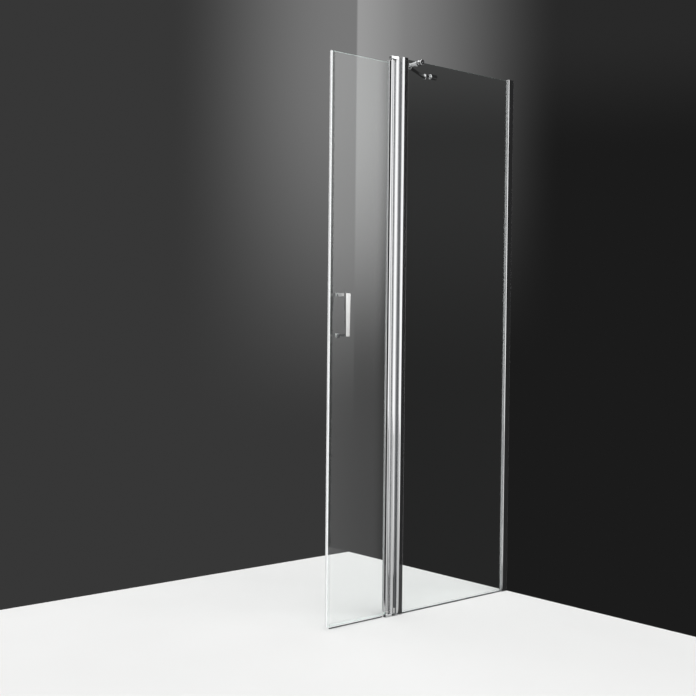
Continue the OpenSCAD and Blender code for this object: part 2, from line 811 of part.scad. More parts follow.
module brace_clamp_screw() {
    color("dimgray") difference() {
        rod_y([clamp_x, -clamp_out + edge_r, clamp_z], clamp_out - edge_r - slot_half, grub_r);
        socket_y([clamp_x, -clamp_out + 4 * edge_r, clamp_z], -1);
    }
}

// The direction of the brace and a placement along it
brace_run = bar_stop - bar_start;
brace_len = norm(brace_run);
brace_turn = atan2(brace_run[1], brace_run[0]);
brace_lift = asin(brace_run[2] / brace_len);

module along_brace() {
    translate(bar_start) rotate([0, 0, brace_turn]) rotate([0, 90 - brace_lift, 0]) children();
}

module brace_tube() {
    color("gainsboro") along_brace() difference() {
        translate([0, 0, fitting_len]) cylinder(r = brace_r, h = brace_len - 2 * fitting_len);
        translate([0, 0, fitting_len - over])
            cylinder(r = brace_r - brace_t, h = brace_len - 2 * fitting_len + 2 * over);
    }
}

// One end fitting: a swivel boss, a waist, a collar and a plug that enters the tube
module brace_fitting() {
    plug_r = brace_r - brace_t - slip;
    rotate_extrude() polygon([
        [0, over], [brace_neck_r, over], [brace_neck_r, fitting_neck],
        [brace_r, fitting_neck + fitting_cone],
        [brace_r, fitting_len], [plug_r, fitting_len], [plug_r, fitting_len + plug_len],
        [0, fitting_len + plug_len],
    ]);
}

module brace_glass_end() {
    color("gainsboro") difference() {
        union() {
            along_brace() brace_fitting();
            swivel_boss(bar_start);
        }
        swivel_hole(bar_start);
        swivel_clearance(bar_start);
    }
}

module brace_wall_end() {
    color("gainsboro") difference() {
        union() {
            along_brace() translate([0, 0, brace_len]) mirror([0, 0, 1]) brace_fitting();
            swivel_boss(bar_stop);
        }
        swivel_hole(bar_stop);
        swivel_clearance(bar_stop);
    }
}

// The screws through the stacked bosses, each with a domed nut on top
module brace_swivel_screws() {
    low = -swivel_h / 2;
    reach = 1.5 * swivel_h + swivel_gap;
    head = 2;
    nut = 2.4;
    wide = 2 * swivel_pin_r;
    socket_d = 1.2;
    color("silver") for (p = [bar_start, bar_stop]) difference() {
        turned_z(p, [[0, low - head], [wide - edge_r, low - head], [wide, low - head + edge_r],
            [wide, low], [swivel_pin_r, low], [swivel_pin_r, reach], [wide, reach],
            [wide, reach + nut / 2], [wide - nut / 2, reach + nut], [0, reach + nut]]);
        translate(p + [0, 0, low - head - over])
            cylinder(r = hex_r, h = over + socket_d, $fn = 6);
    }
}

module brace_wall_cup() {
    r = clamp_r;
    inner = r - cup_wall;
    centre = [0, brace_wall_y, cup_z];
    color("gainsboro") difference() {
        union() {
            turned_x(centre, [
                [inner, -rub], [r, -rub], [r, -cup_d + edge_r], [r - edge_r, -cup_d],
                [stem_r, -cup_d], [stem_r, -cup_reach + over], [0, -cup_reach + over],
                [0, -cup_d + cup_floor], [inner, -cup_d + cup_floor],
            ]);
            swivel_boss(cup_end);
        }
        swivel_hole(cup_end);
        rod_z([-base_d / 2, brace_wall_y, cup_z - r - over], cup_wall + 2 * over,
              cup_screw_r + slip);
    }
}

module brace_wall_base() {
    color("silver") difference() {
        rod_x([-base_d, brace_wall_y, cup_z], base_d, clamp_r - cup_wall - slip);
        rod_x([-base_d - over, brace_wall_y, cup_z], base_d + 2 * over, wall_hole_r);
        rod_z([-base_d / 2, brace_wall_y, cup_z - clamp_r], cup_screw_len + trim_play,
              cup_screw_r + slip);
    }
}

module brace_cup_screw() {
    low = cup_z - clamp_r + rub;
    color("dimgray") difference() {
        rod_z([-base_d / 2, brace_wall_y, low], cup_screw_len - rub, cup_screw_r);
        translate([-base_d / 2, brace_wall_y, low - over])
            cylinder(r = cup_screw_r / 2, h = 2 * over, $fn = 6);
    }
}

wall_channel();
wall_profile();
wall_profile_cap();
side_screws();
wall_gaskets();
fixed_glass();
fixed_bottom_seal();
post_gaskets();
post_profile();
post_cap();
post_tube();
post_seal();
foot_plate();
top_pivot_arm();
bottom_pivot_arm();
arm_set_screws();
top_pivot_pin();
bottom_pivot_pin();
top_pivot_bush();
bottom_pivot_bush();
door_profile();
door_gaskets();
door_glass();
door_edge_seal();
door_edge_magnet();
door_bottom_seal();
handle_bar();
handle_upper_arm();
handle_lower_arm();
handle_rosettes();
handle_sleeves();
handle_inner_caps();
handle_bolts();
brace_glass_clamp();
brace_clamp_liner();
brace_clamp_screw();
brace_tube();
brace_glass_end();
brace_wall_end();
brace_swivel_screws();
brace_wall_cup();
brace_wall_base();
brace_cup_screw();
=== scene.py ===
"""Looks of a shower screen: clear glass, bright profiles, hinge post, pivot door and brace."""

import json
import logging
import math
from collections.abc import Callable, Sequence
from dataclasses import dataclass
from enum import Enum
from typing import ClassVar

import bmesh
import bpy
from mathutils import Matrix, Vector

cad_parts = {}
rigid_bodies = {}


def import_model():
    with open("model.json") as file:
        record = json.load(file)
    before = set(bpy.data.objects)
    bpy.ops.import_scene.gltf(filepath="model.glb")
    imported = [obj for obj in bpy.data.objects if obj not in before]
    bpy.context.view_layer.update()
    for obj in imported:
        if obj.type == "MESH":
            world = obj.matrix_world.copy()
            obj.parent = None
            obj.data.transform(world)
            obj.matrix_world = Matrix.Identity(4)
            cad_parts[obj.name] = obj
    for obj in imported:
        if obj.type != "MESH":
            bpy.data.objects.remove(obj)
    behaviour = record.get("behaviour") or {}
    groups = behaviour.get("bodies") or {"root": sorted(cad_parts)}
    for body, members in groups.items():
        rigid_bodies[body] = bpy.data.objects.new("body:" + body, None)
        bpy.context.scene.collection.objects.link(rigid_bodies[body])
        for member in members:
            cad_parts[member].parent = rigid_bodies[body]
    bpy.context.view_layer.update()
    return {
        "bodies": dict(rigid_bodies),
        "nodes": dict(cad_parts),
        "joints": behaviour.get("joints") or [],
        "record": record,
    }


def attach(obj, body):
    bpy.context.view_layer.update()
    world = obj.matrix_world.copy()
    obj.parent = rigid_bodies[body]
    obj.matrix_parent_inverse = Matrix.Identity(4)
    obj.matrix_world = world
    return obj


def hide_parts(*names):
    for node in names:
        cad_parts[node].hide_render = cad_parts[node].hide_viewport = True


log = logging.getLogger("shower_screen")

MM = 0.001
NEAR = 1e-4  # points closer than this, in millimetres, are one point
OVER = 1.0  # how far a cutter runs past the face it cuts
PLAY = 0.05  # the gap between pieces that lie on each other
ARC_STEP = 5.0  # degrees of an arc that one edge spans
CAP_EDGE = 1.0  # the width of the rounded edges of a profile's cap
CORNER = 60.0  # the least angle, in degrees, of an edge that is rounded
CREASE = 32.0  # the least angle, in degrees, of an edge that shades as a crease
ALMOST_ONE = 0.999999  # the highest cosine that an arccosine gets
ALMOST_NONE = 1e-4  # the least length that a level direction is divided by

Point = tuple[float, float, float]
Pair = tuple[float, float]
Shape = bmesh.types.BMesh
Socket = bpy.types.NodeSocket


class Body(Enum):
    """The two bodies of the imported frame."""

    FRAME = "fixed_frame"
    DOOR = "door_leaf"


class Slot(Enum):
    """The material slots of the record that new pieces name."""

    PROFILE = "bright_profile"
    CAST = "bright_cast"
    STEEL = "screw_steel"
    SEAL = "clear_seal"
    GASKET = "grey_gasket"
    MAGNET = "white_magnet"


class Along(Enum):
    """The direction that a drawn section is extruded or turned along."""

    X = (1.0, 0.0, 0.0)
    Y = (0.0, 1.0, 0.0)
    Z = (0.0, 0.0, 1.0)


# Shapes


@dataclass(frozen=True)
class Arc:
    """A turn of the pen about a centre, in degrees."""

    x: float
    y: float
    degrees: float


Steps = Sequence[Pair | Arc]


def draw(shape: Shape, steps: Steps, closed: bool = True) -> None:
    """Draws a line of straight runs and arcs in the XY plane.

    Args:
        shape: The mesh to draw in.
        steps: A start point, then points and arcs.
        closed: Whether the last point joins the first.
    """
    first = pen = shape.verts.new((*steps[0], 0.0))
    for step in steps[1:]:
        if isinstance(step, Arc):
            swept = bmesh.ops.spin(
                shape,
                geom=[pen],
                cent=(step.x, step.y, 0.0),
                axis=Along.Z.value,
                angle=math.radians(step.degrees),
                steps=max(3, round(abs(step.degrees) / ARC_STEP)),
            )
            pen = swept["geom_last"][0]
        else:
            tip = shape.verts.new((*step, 0.0))
            shape.edges.new((pen, tip))
            pen = tip
    if closed and (pen.co - first.co).length > NEAR:
        shape.edges.new((pen, first))
    bmesh.ops.remove_doubles(shape, verts=shape.verts, dist=NEAR)


def raise_made(shape: Shape, made: dict, height: float) -> None:
    """Raises what an operator made."""
    verts = [item for item in made["geom"] if isinstance(item, bmesh.types.BMVert)]
    bmesh.ops.translate(shape, verts=verts, vec=(0.0, 0.0, height))


def turn_to(shape: Shape, origin: Sequence[float], direction: Sequence[float]) -> None:
    """Turns a shape's +Z to a direction and moves it to its place.

    Args:
        shape: The mesh to place.
        origin: Where its own origin goes.
        direction: Where its +Z goes.
    """
    heading = Vector(direction).normalized()
    if heading == Vector(Along.X.value):
        turn = Matrix(((0, 0, 1), (1, 0, 0), (0, 1, 0))).to_4x4()
    elif heading == Vector(Along.Y.value):
        turn = Matrix(((1, 0, 0), (0, 0, 1), (0, -1, 0))).to_4x4()
    else:
        turn = Vector(Along.Z.value).rotation_difference(heading).to_matrix().to_4x4()
    bmesh.ops.transform(shape, matrix=Matrix.Translation(origin) @ turn, verts=shape.verts)


def extruded(outlines: Sequence[Steps], low: float, high: float, along: Along = Along.Z) -> Shape:
    """Extrudes a section with its holes.

    Args:
        outlines: The outer line and the lines of its holes.
        low: Where the extrusion starts.
        high: Where it ends.
        along: The direction of the extrusion. Along X, a section's x and y are Y and Z.

    Returns:
        The closed shape.
    """
    shape = bmesh.new()
    for steps in outlines:
        draw(shape, steps)
    if len(outlines) == 1:
        bmesh.ops.contextual_create(shape, geom=shape.edges[:])
    else:
        bmesh.ops.triangle_fill(shape, use_beauty=True, use_dissolve=False, edges=shape.edges[:])
    raise_made(shape, bmesh.ops.extrude_face_region(shape, geom=shape.faces[:]), high - low)
    bmesh.ops.recalc_face_normals(shape, faces=shape.faces)
    turn_to(shape, [low * share for share in along.value], along.value)
    return shape


def turned(
    steps: Steps,
    origin: Sequence[float],
    direction: Sequence[float] = Along.Z.value,
    closed: bool = False,
    count: int = 56,
) -> Shape:
    """Turns a line of (radius, distance) points about its axis.

    Args:
        steps: The line, from the axis and back to it unless it is closed.
        origin: The foot of the axis.
        direction: The direction of the axis.
        closed: Whether the line is a ring that stays off the axis.
        count: Steps of the full turn.

    Returns:
        The closed shape.
    """
    shape = bmesh.new()
    draw(shape, steps, closed)
    upright = Matrix.Rotation(math.pi / 2, 3, "X")
    bmesh.ops.rotate(shape, verts=shape.verts, cent=(0, 0, 0), matrix=upright)
    bmesh.ops.spin(
        shape,
        geom=shape.verts[:] + shape.edges[:],
        cent=(0.0, 0.0, 0.0),
        axis=Along.Z.value,
        angle=math.tau,
        steps=count,
        use_merge=True,
    )
    bmesh.ops.remove_doubles(shape, verts=shape.verts, dist=NEAR)
    bmesh.ops.recalc_face_normals(shape, faces=shape.faces)
    turn_to(shape, origin, direction)
    return shape


def peg(
    radius: float,
    low: float,
    high: float,
    origin: Point,
    direction: Sequence[float] = Along.Z.value,
    count: int = 32,
) -> Shape:
    """Turns a plain round peg, which also cuts round holes.

    Args:
        radius: The peg's radius.
        low: Where it starts on its axis.
        high: Where it ends.
        origin: The foot of the axis.
        direction: The direction of the axis.
        count: Steps of the full turn.

    Returns:
        The closed shape.
    """
    line = [(0.0, low), (radius, low), (radius, high), (0.0, high)]
    return turned(line, origin, direction, count=count)


def block(low: Point, high: Point) -> Shape:
    """Makes a block between two corners.

    Args:
        low: The lowest corner.
        high: The highest corner.

    Returns:
        The closed shape.
    """
    shape = bmesh.new()
    bmesh.ops.create_cube(shape, size=1.0)
    bmesh.ops.scale(shape, verts=shape.verts, vec=Vector(high) - Vector(low))
    bmesh.ops.translate(shape, verts=shape.verts, vec=(Vector(high) + Vector(low)) / 2)
    return shape


def rounded(
    shape: Shape,
    width: float,
    segments: int,
    where: Callable[[Vector], bool] = lambda middle: True,
) -> Shape:
    """Rounds the corners of a shape.

    Args:
        shape: The shape.
        width: The bevel's width.
        segments: The bevel's segments.
        where: Tells by an edge's middle point whether it is rounded.

    Returns:
        The same shape.
    """
    edges = [
        edge
        for edge in shape.edges
        if edge.calc_face_angle(0.0) > math.radians(CORNER)
        and where((edge.verts[0].co + edge.verts[1].co) / 2)
    ]
    bmesh.ops.bevel(
        shape,
        geom=edges,
        offset=width,
        offset_type="OFFSET",
        affect="EDGES",
        segments=segments,
        profile=0.5,
        material=-1,
        clamp_overlap=True,
    )
    return shape


def placed(shape: Shape, name: str) -> bpy.types.Object:
    """Puts a shape into the scene.

    Args:
        shape: The shape. It is used up.
        name: The name of its object and mesh.

    Returns:
        The new object.
    """
    mesh = bpy.data.meshes.new(name)
    shape.to_mesh(mesh)
    shape.free()
    thing = bpy.data.objects.new(name, mesh)
    bpy.context.scene.collection.objects.link(thing)
    return thing


def carved(shape: Shape, tool: Shape, how: str = "DIFFERENCE") -> Shape:
    """Cuts a shape with another, or joins the two.

    Args:
        shape: The shape to change. It is used up.
        tool: The other shape. It is used up.
        how: The operation of Blender's Boolean modifier.

    Returns:
        The new shape.
    """
    makers = [placed(source, "tool") for source in (shape, tool)]
    modifier = makers[0].modifiers.new("cut", "BOOLEAN")
    modifier.operation = how
    modifier.solver = "EXACT"
    modifier.object = makers[1]
    result = bmesh.new()
    result.from_object(makers[0], bpy.context.evaluated_depsgraph_get())
    for maker in makers:
        mesh = maker.data
        bpy.data.objects.remove(maker)
        bpy.data.meshes.remove(mesh)
    bmesh.ops.remove_doubles(result, verts=result.verts, dist=NEAR)
    bmesh.ops.dissolve_degenerate(result, dist=NEAR, edges=result.edges)
    return result


def repeated(shape: Shape, lifts: Sequence[float]) -> Shape:
    """Adds raised copies of a shape to it.

    Args:
        shape: The shape.
        lifts: How far above it each copy lies.

    Returns:
        The same shape with its copies.
    """
    pattern = shape.verts[:] + shape.edges[:] + shape.faces[:]
    for height in lifts:
        raise_made(shape, bmesh.ops.duplicate(shape, geom=pattern), height)
    return shape


def end_cap(section: Steps, low: float, high: float) -> Shape:
    """Makes a profile's cap with rounded top edges.

    Args:
        section: The cap's outline.
        low: Its underside.
        high: Its top.

    Returns:
        The cap.
    """
    cap = extruded([section], low, high)
    return rounded(cap, CAP_EDGE, 3, lambda middle: middle.z > high - NEAR)


def chord(radius: float, height: float) -> float:
    """Returns how far a circle reaches at a height off its middle line."""
    return math.sqrt(radius * radius - height * height)


def lift(radius: float, height: float) -> float:
    """Returns the angle, in degrees, of a circle's point at a height off its middle line."""
    return math.degrees(math.asin(height / radius))


# Materials


class NodeTree:
    """A small helper that fills a node tree."""

    def __init__(self, owner: bpy.types.Material | bpy.types.World) -> None:
        """Takes and empties a node tree.

        Args:
            owner: The material or world that it belongs to.
        """
        owner.use_nodes = True
        self.tree = owner.node_tree
        self.tree.nodes.clear()

    def add(self, kind: str, inputs: dict | None = None, **settings: object) -> bpy.types.Node:
        """Adds one node.

        Args:
            kind: The end of the node's type name.
            inputs: Sockets or constants for its inputs, by name or number.
            **settings: Values for the node's own properties.

        Returns:
            The new node.
        """
        node = self.tree.nodes.new(f"ShaderNode{kind}")
        for name, value in settings.items():
            setattr(node, name, value)
        for name, value in (inputs or {}).items():
            if isinstance(value, Socket):
                self.tree.links.new(value, node.inputs[name])
            else:
                node.inputs[name].default_value = value
        return node

    def math(self, operation: str, *values: Socket | float) -> Socket:
        """Adds one Math node on sockets or numbers."""
        return self.add("Math", dict(enumerate(values)), operation=operation).outputs[0]

    def map_range(self, *values: Socket | float) -> Socket:
        """Maps a value smoothly, given with its low and high end and what these become."""
        inputs = dict(zip(("Value", "From Min", "From Max", "To Min", "To Max"), values))
        return self.add("MapRange", inputs, interpolation_type="SMOOTHSTEP").outputs["Result"]

    def band(self, value: Socket, rise: Pair, fall: Pair) -> Socket:
        """Returns a band that is 1 between its rise and its fall, and 0 outside them."""
        risen = self.map_range(value, *rise, 0.0, 1.0)
        return self.math("MULTIPLY", risen, self.map_range(value, *fall, 1.0, 0.0))

    def mix(self, share: Socket, first: Socket | float, second: Socket | float) -> Socket:
        """Mixes two values by the share of the second."""
        step = self.math("MULTIPLY", share, self.math("SUBTRACT", second, first))
        return self.math("ADD", first, step)

    def toward(self, heading: Sequence[Socket], azimuth: float) -> Socket:
        """Returns the cosine of the angle between a level heading and an azimuth in degrees."""
        shares = math.cos(math.radians(azimuth)), math.sin(math.radians(azimuth))
        return self.math("ADD", *(self.math("MULTIPLY", *pair) for pair in zip(heading, shares)))

    def noise(self, scale: Point, detail: float) -> Socket:
        """Adds a noise on Object coordinates, stretched by its scale.

        Args:
            scale: Cells per metre along X, Y and Z.
            detail: Octaves of the noise.

        Returns:
            The noise's value.
        """
        place = self.add("TexCoord").outputs["Object"]
        cells = self.add("Mapping", {"Vector": place, "Scale": scale}).outputs[0]
        inputs = {"Vector": cells, "Scale": 1.0, "Detail": detail, "Roughness": 0.55}
        return self.add("TexNoise", inputs).outputs[0]

    def tint(self, value: Socket, *colours: Point) -> Socket:
        """Mixes two colours by a value.

        Args:
            value: The share of the second colour, 0 to 1.
            *colours: The two colours.

        Returns:
            The mixed colour.
        """
        ramp = self.add("ValToRGB", {0: value})
        for element, colour in zip(ramp.color_ramp.elements, colours):
            element.color = (*colour, 1.0)
        return ramp.outputs[0]

    def pass_lamps(self, shown: Socket, colour: Point) -> Socket:
        """Lets lamps shine through a clear material.

        Args:
            shown: The material's own shader.
            colour: The tint of the light behind it.

        Returns:
            The shader to show.
        """
        clear = self.add("BsdfTransparent", {0: (*colour, 1.0)}).outputs[0]
        shadow = self.add("LightPath").outputs["Is Shadow Ray"]
        return self.add("MixShader", {0: shadow, 1: shown, 2: clear}).outputs[0]


@dataclass(frozen=True)
class Finish:
    """A surface finish and the numbers that a maker would set for it."""

    name: str
    light: Point
    dark: Point
    roughness: Pair
    grain: Point
    metallic: float = 0.0
    ripple: Point = (300.0, 300.0, 300.0)
    bump: float = 0.0
    bump_height: float = 0.00003
    transmission: float = 0.0
    ior: float = 1.5
    coat: float = 0.0
    edge_tint: float = 1.0
    lets_lamps_through: bool = False

    def build(
        self, shade: Callable[[NodeTree, Socket], Socket] | None = None
    ) -> bpy.types.Material:
        """Makes the material.

        Args:
            shade: Changes its colour, where it is given.

        Returns:
            A procedural material with varied colour, gloss and relief.
        """
        material = bpy.data.materials.new(self.name)
        nodes = NodeTree(material)
        grain = nodes.noise(self.grain, 3.0)
        colour = nodes.tint(grain, self.dark, self.light)
        inputs = {
            "Base Color": shade(nodes, colour) if shade else colour,
            "Roughness": nodes.map_range(grain, 0.3, 0.7, *self.roughness),
            "Metallic": self.metallic,
            "IOR": self.ior,
            "Transmission Weight": self.transmission,
            "Coat Weight": self.coat,
            "Specular Tint": (*(self.edge_tint,) * 3, 1.0),
        }
        if self.bump:
            relief = {"Strength": self.bump, "Distance": self.bump_height}
            relief["Height"] = nodes.noise(self.ripple, 2.0)
            inputs["Normal"] = nodes.add("Bump", relief).outputs[0]
        shown = nodes.add("BsdfPrincipled", inputs).outputs[0]
        if self.lets_lamps_through:
            shown = nodes.pass_lamps(shown, self.light)
        nodes.add("OutputMaterial", {"Surface": shown})
        return material


@dataclass(frozen=True)
class PaneGlass:
    """Clear toughened glass whose ground edges look greener than its faces."""

    name: str
    edge_roughness: float
    edge_clear: float = 0.9
    face: Point = (0.975, 0.99, 0.985)
    edge: Point = (0.74, 0.88, 0.84)
    ior: float = 1.5
    smear: Pair = (0.0, 0.003)

    def build(self) -> bpy.types.Material:
        """Makes the glass.

        Returns:
            A clear material with faint smears on the faces and ground edges.
        """
        material = bpy.data.materials.new(self.name)
        nodes = NodeTree(material)
        facing = nodes.add("TexCoord").outputs["Normal"]
        split = nodes.add("SeparateXYZ", {0: facing}).outputs
        sides = [nodes.math("ABSOLUTE", split[name]) for name in ("X", "Z")]
        on_edge = nodes.map_range(nodes.math("MAXIMUM", *sides), 0.3, 0.6, 0.0, 1.0)
        smear = nodes.map_range(nodes.noise((6.0, 6.0, 3.0), 4.0), 0.45, 0.75, *self.smear)
        ground = nodes.math("MULTIPLY", on_edge, self.edge_roughness)
        inputs = {
            "Base Color": nodes.tint(on_edge, self.face, self.edge),
            "Roughness": nodes.math("ADD", smear, ground),
            "IOR": self.ior,
            "Transmission Weight": nodes.mix(on_edge, 1.0, self.edge_clear),
        }
        shown = nodes.add("BsdfPrincipled", inputs).outputs[0]
        nodes.add("OutputMaterial", {"Surface": nodes.pass_lamps(shown, self.face)})
        return material


BRIGHT_PROFILE = Finish(
    "bright_profile_finish", (0.68, 0.685, 0.69), (0.62, 0.625, 0.635), (0.02, 0.045),
    (160.0, 160.0, 2.5), metallic=1.0, edge_tint=0.55, ripple=(260.0, 260.0, 1.2), bump=0.04,
    bump_height=0.00008,
)
BRIGHT_CAST = Finish(
    "bright_cast_finish", (0.70, 0.705, 0.71), (0.64, 0.645, 0.655), (0.02, 0.05),
    (90.0, 90.0, 90.0), metallic=1.0, edge_tint=0.6, ripple=(140.0, 140.0, 140.0), bump=0.05,
    bump_height=0.00006,
)
SILK_CHROME = Finish(
    "silk_chrome_finish", (0.52, 0.52, 0.515), (0.48, 0.48, 0.475), (0.11, 0.15),
    (260.0, 260.0, 30.0), metallic=1.0, ripple=(900.0, 900.0, 60.0), bump=0.08,
)
PEARL_CHROME = Finish(
    "pearl_chrome_finish", (0.74, 0.74, 0.735), (0.68, 0.68, 0.675), (0.24, 0.32),
    (260.0, 40.0, 260.0), metallic=0.3, ripple=(900.0, 90.0, 900.0), bump=0.08,
)
STAINLESS = Finish(
    "stainless_finish", (0.66, 0.66, 0.66), (0.5, 0.5, 0.51), (0.18, 0.34),
    (500.0, 500.0, 60.0), metallic=1.0, ripple=(1400.0, 1400.0, 160.0), bump=0.15,
)
# Dark satin: on the tube's fin it is painted shade for the gap between the tube and the glass
# profile. The handle's plates also use it.
DARK_SATIN_AND_GAP_SHADE = Finish(
    "dark_satin_and_gap_shade_finish", (0.20, 0.205, 0.21), (0.14, 0.145, 0.15), (0.3, 0.42),
    (900.0, 900.0, 5.0), metallic=1.0, ripple=(1500.0, 1500.0, 8.0), bump=0.15,
)
BLACK_STEEL = Finish(
    "black_steel_finish", (0.10, 0.10, 0.105), (0.05, 0.05, 0.055), (0.3, 0.45),
    (600.0, 600.0, 600.0), metallic=1.0,
)
SATIN_ALUMINIUM = Finish(
    "satin_aluminium_finish", (0.74, 0.75, 0.76), (0.64, 0.65, 0.67), (0.28, 0.4),
    (900.0, 900.0, 5.0), metallic=1.0, ripple=(1500.0, 1500.0, 8.0), bump=0.2,
)
CLEAR_VINYL = Finish(
    "clear_vinyl_finish", (0.985, 0.99, 0.99), (0.965, 0.97, 0.97), (0.01, 0.03),
    (60.0, 60.0, 8.0), transmission=1.0, ior=1.22, lets_lamps_through=True,
)
WHITE_VINYL = Finish(
    "white_vinyl_finish", (0.90, 0.905, 0.91), (0.84, 0.85, 0.86), (0.22, 0.34),
    (160.0, 160.0, 10.0), ripple=(700.0, 700.0, 30.0), bump=0.08, coat=0.3,
)
# Dark vinyl used as painted shade in the door's groove, under the door and under the fixed glass.
PAINTED_SHADE_VINYL = Finish(
    "painted_shade_vinyl_finish", (0.055, 0.057, 0.06), (0.03, 0.031, 0.033), (0.35, 0.5),
    (90.0, 300.0, 90.0), ripple=(60.0, 900.0, 900.0), bump=0.12,
)
WHITE_NYLON = Finish(
    "white_nylon_finish", (0.86, 0.86, 0.84), (0.78, 0.78, 0.76), (0.3, 0.42),
    (500.0, 500.0, 500.0), ripple=(1500.0, 1500.0, 1500.0), bump=0.1,
)
WHITE_MAGNET = Finish(
    "white_magnet_finish", (0.84, 0.85, 0.86), (0.74, 0.75, 0.76), (0.42, 0.55),
    (200.0, 200.0, 12.0), ripple=(900.0, 900.0, 60.0), bump=0.15, bump_height=0.00004,
)
GREY_GASKET = Finish(
    "grey_gasket_finish", (0.60, 0.605, 0.61), (0.50, 0.505, 0.51), (0.4, 0.55),
    (300.0, 300.0, 20.0), ripple=(1200.0, 1200.0, 90.0), bump=0.2, bump_height=0.00004,
)
BLACK_RUBBER = Finish(
    "black_rubber_finish", (0.045, 0.045, 0.045), (0.02, 0.02, 0.02), (0.6, 0.8),
    (400.0, 400.0, 400.0), ripple=(1500.0, 1500.0, 1500.0), bump=0.25, bump_height=0.00004,
)
SLOT_FINISHES: dict[str, Finish | PaneGlass] = {
    "channel_aluminium": SATIN_ALUMINIUM,
    "bright_profile": BRIGHT_PROFILE,
    "bright_cast": BRIGHT_CAST,
    "screw_steel": STAINLESS,
    "dark_steel": BLACK_STEEL,
    "fixed_panel_glass": PaneGlass("panel_glass", edge_roughness=0.05),
    "door_panel_glass": PaneGlass("door_glass", edge_roughness=0.5, edge_clear=0.25),
    "clear_seal": CLEAR_VINYL,
    "white_magnet": WHITE_MAGNET,
    "grey_gasket": GREY_GASKET,
    "black_rubber": BLACK_RUBBER,
    "white_nylon": WHITE_NYLON,
}


class Workshop:
    """Turns shapes into finished pieces of the scene."""

    def __init__(self, frame: dict) -> None:
        self.frame = frame
        self.built: dict[str, bpy.types.Material] = {}

    def material(self, finish: Finish | PaneGlass) -> bpy.types.Material:
        """Returns a finish's material.

        Args:
            finish: The finish to show.

        Returns:
            Its material, made on the first call.
        """
        if finish.name not in self.built:
            self.built[finish.name] = finish.build()
        return self.built[finish.name]

    def show(
        self, body: Body, shape: Shape, name: str, finish: Finish, slot: Slot, *nodes: str
    ) -> None:
        """Puts a shape into the scene as a piece that stands for CAD nodes.

        Args:
            body: The body that it rides on.
            shape: The shape, in millimetres. It is used up.
            name: The piece's name.
            finish: Its finish.
            slot: The record's material slot; not used.
            *nodes: The CAD nodes that it replaces.
        """
        bmesh.ops.scale(shape, verts=shape.verts, vec=(MM, MM, MM))
        piece = placed(shape, name)
        mesh = piece.data
        mesh.shade_smooth()
        mesh.set_sharp_from_angle(angle=math.radians(CREASE))
        mesh.materials.append(self.material(finish))
        piece.modifiers.new("flat_faces", "WEIGHTED_NORMAL").keep_sharp = True
        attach(piece, body.value)
        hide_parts(*nodes)
        log.info("made %s, %d faces", name, len(mesh.polygons))

    def dress_nodes(self) -> None:
        """Gives every CAD node the finish of its material slot."""
        for part in self.frame["record"]["subparts"]:
            node = self.frame["nodes"][part["node"]]
            node.data.materials.clear()
            node.data.materials.append(self.material(SLOT_FINISHES[part["material_slot"]]))


# The screen


Pieces = Sequence[tuple[Shape, str, Finish, Slot, str]]


@dataclass(frozen=True)
class SubAssembly:
    """The sizes that the sub-assemblies share, in millimetres, and how one is built."""

    body: ClassVar[Body] = Body.FRAME
    screen: float = 1900.0
    lid: float = 4.0
    glass_half: float = 3.0
    pocket: float = 13.0
    pocket_half: float = 5.0
    hinge_x: float = -612.0
    nose_r: float = 9.5
    small_r: float = 1.0

    def pieces(self) -> Pieces:
        """Returns each piece's shape, name, finish and slot, and the node that it replaces."""
        raise NotImplementedError

    def build(self, shop: Workshop) -> None:
        """Puts every piece into the scene."""
        for piece in self.pieces():
            shop.show(self.body, *piece)


@dataclass(frozen=True)
class WallSide(SubAssembly):
    """The bright profile along the wall, its cap and its screw holes."""

    depth: float = 28.0
    half: float = 8.5
    corner: float = 3.0
    back: float = -1.5
    web: float = 1.6
    cavity_half: float = 6.7
    lid_back: float = -0.4
    edge: float = 0.25
    screw_x: float = -6.75
    screw_r: float = 1.95
    cone: float = 1.44
    screw_heights: tuple[float, ...] = (60.0, 950.0, 1840.0)

    def pieces(self) -> Pieces:
        """Makes the profile and its cap.

        Returns:
            The two pieces.
        """
        return (
            (self.profile(), "wall_extrusion", BRIGHT_PROFILE, Slot.PROFILE, "wall_profile"),
            (self.cap(), "wall_extrusion_cap", BRIGHT_CAST, Slot.CAST, "wall_profile_cap"),
        )

    def profile(self) -> Shape:
        """Extrudes the section with the glass pocket and the cavity for the channel.

        Returns:
            The profile with its countersunk holes.
        """
        near, r, h = -self.depth, self.corner, self.half
        floor, pocket, cavity = near + self.pocket, self.pocket_half, self.cavity_half
        section = [
            (near + r, h), Arc(near + r, h - r, 90), (near, pocket), (floor, pocket),
            (floor, -pocket), (near, -pocket), (near, -h + r), Arc(near + r, -h + r, 90),
            (self.back, -h), (self.back, -cavity), (floor + self.web, -cavity),
            (floor + self.web, cavity), (self.back, cavity), (self.back, h),
        ]
        shape = rounded(extruded([section], 0.0, self.screen), self.edge, 2)
        countersink = [
            (0.0, cavity - OVER), (self.screw_r, cavity - OVER), (self.screw_r, h - self.cone),
            (self.screw_r + self.cone + OVER, h + OVER), (0.0, h + OVER),
        ]
        first, *others = self.screw_heights
        tool = turned(countersink, (self.screw_x, 0.0, first), Along.Y.value, count=24)
        return carved(shape, repeated(tool, [height - first for height in others]))

    def cap(self) -> Shape:
        """Makes the flat cap.

        Returns:
            The cap.
        """
        near, far, r, h, c = -self.depth, self.lid_back, self.corner, self.half, self.small_r
        section = [
            (far, h - c), Arc(far - c, h - c, 90), (near + r, h), Arc(near + r, h - r, 90),
            (near, -h + r), Arc(near + r, -h + r, 90), (far - c, -h), Arc(far - c, -h + c, 90),
        ]
        return end_cap(section, self.screen, self.screen + self.lid)


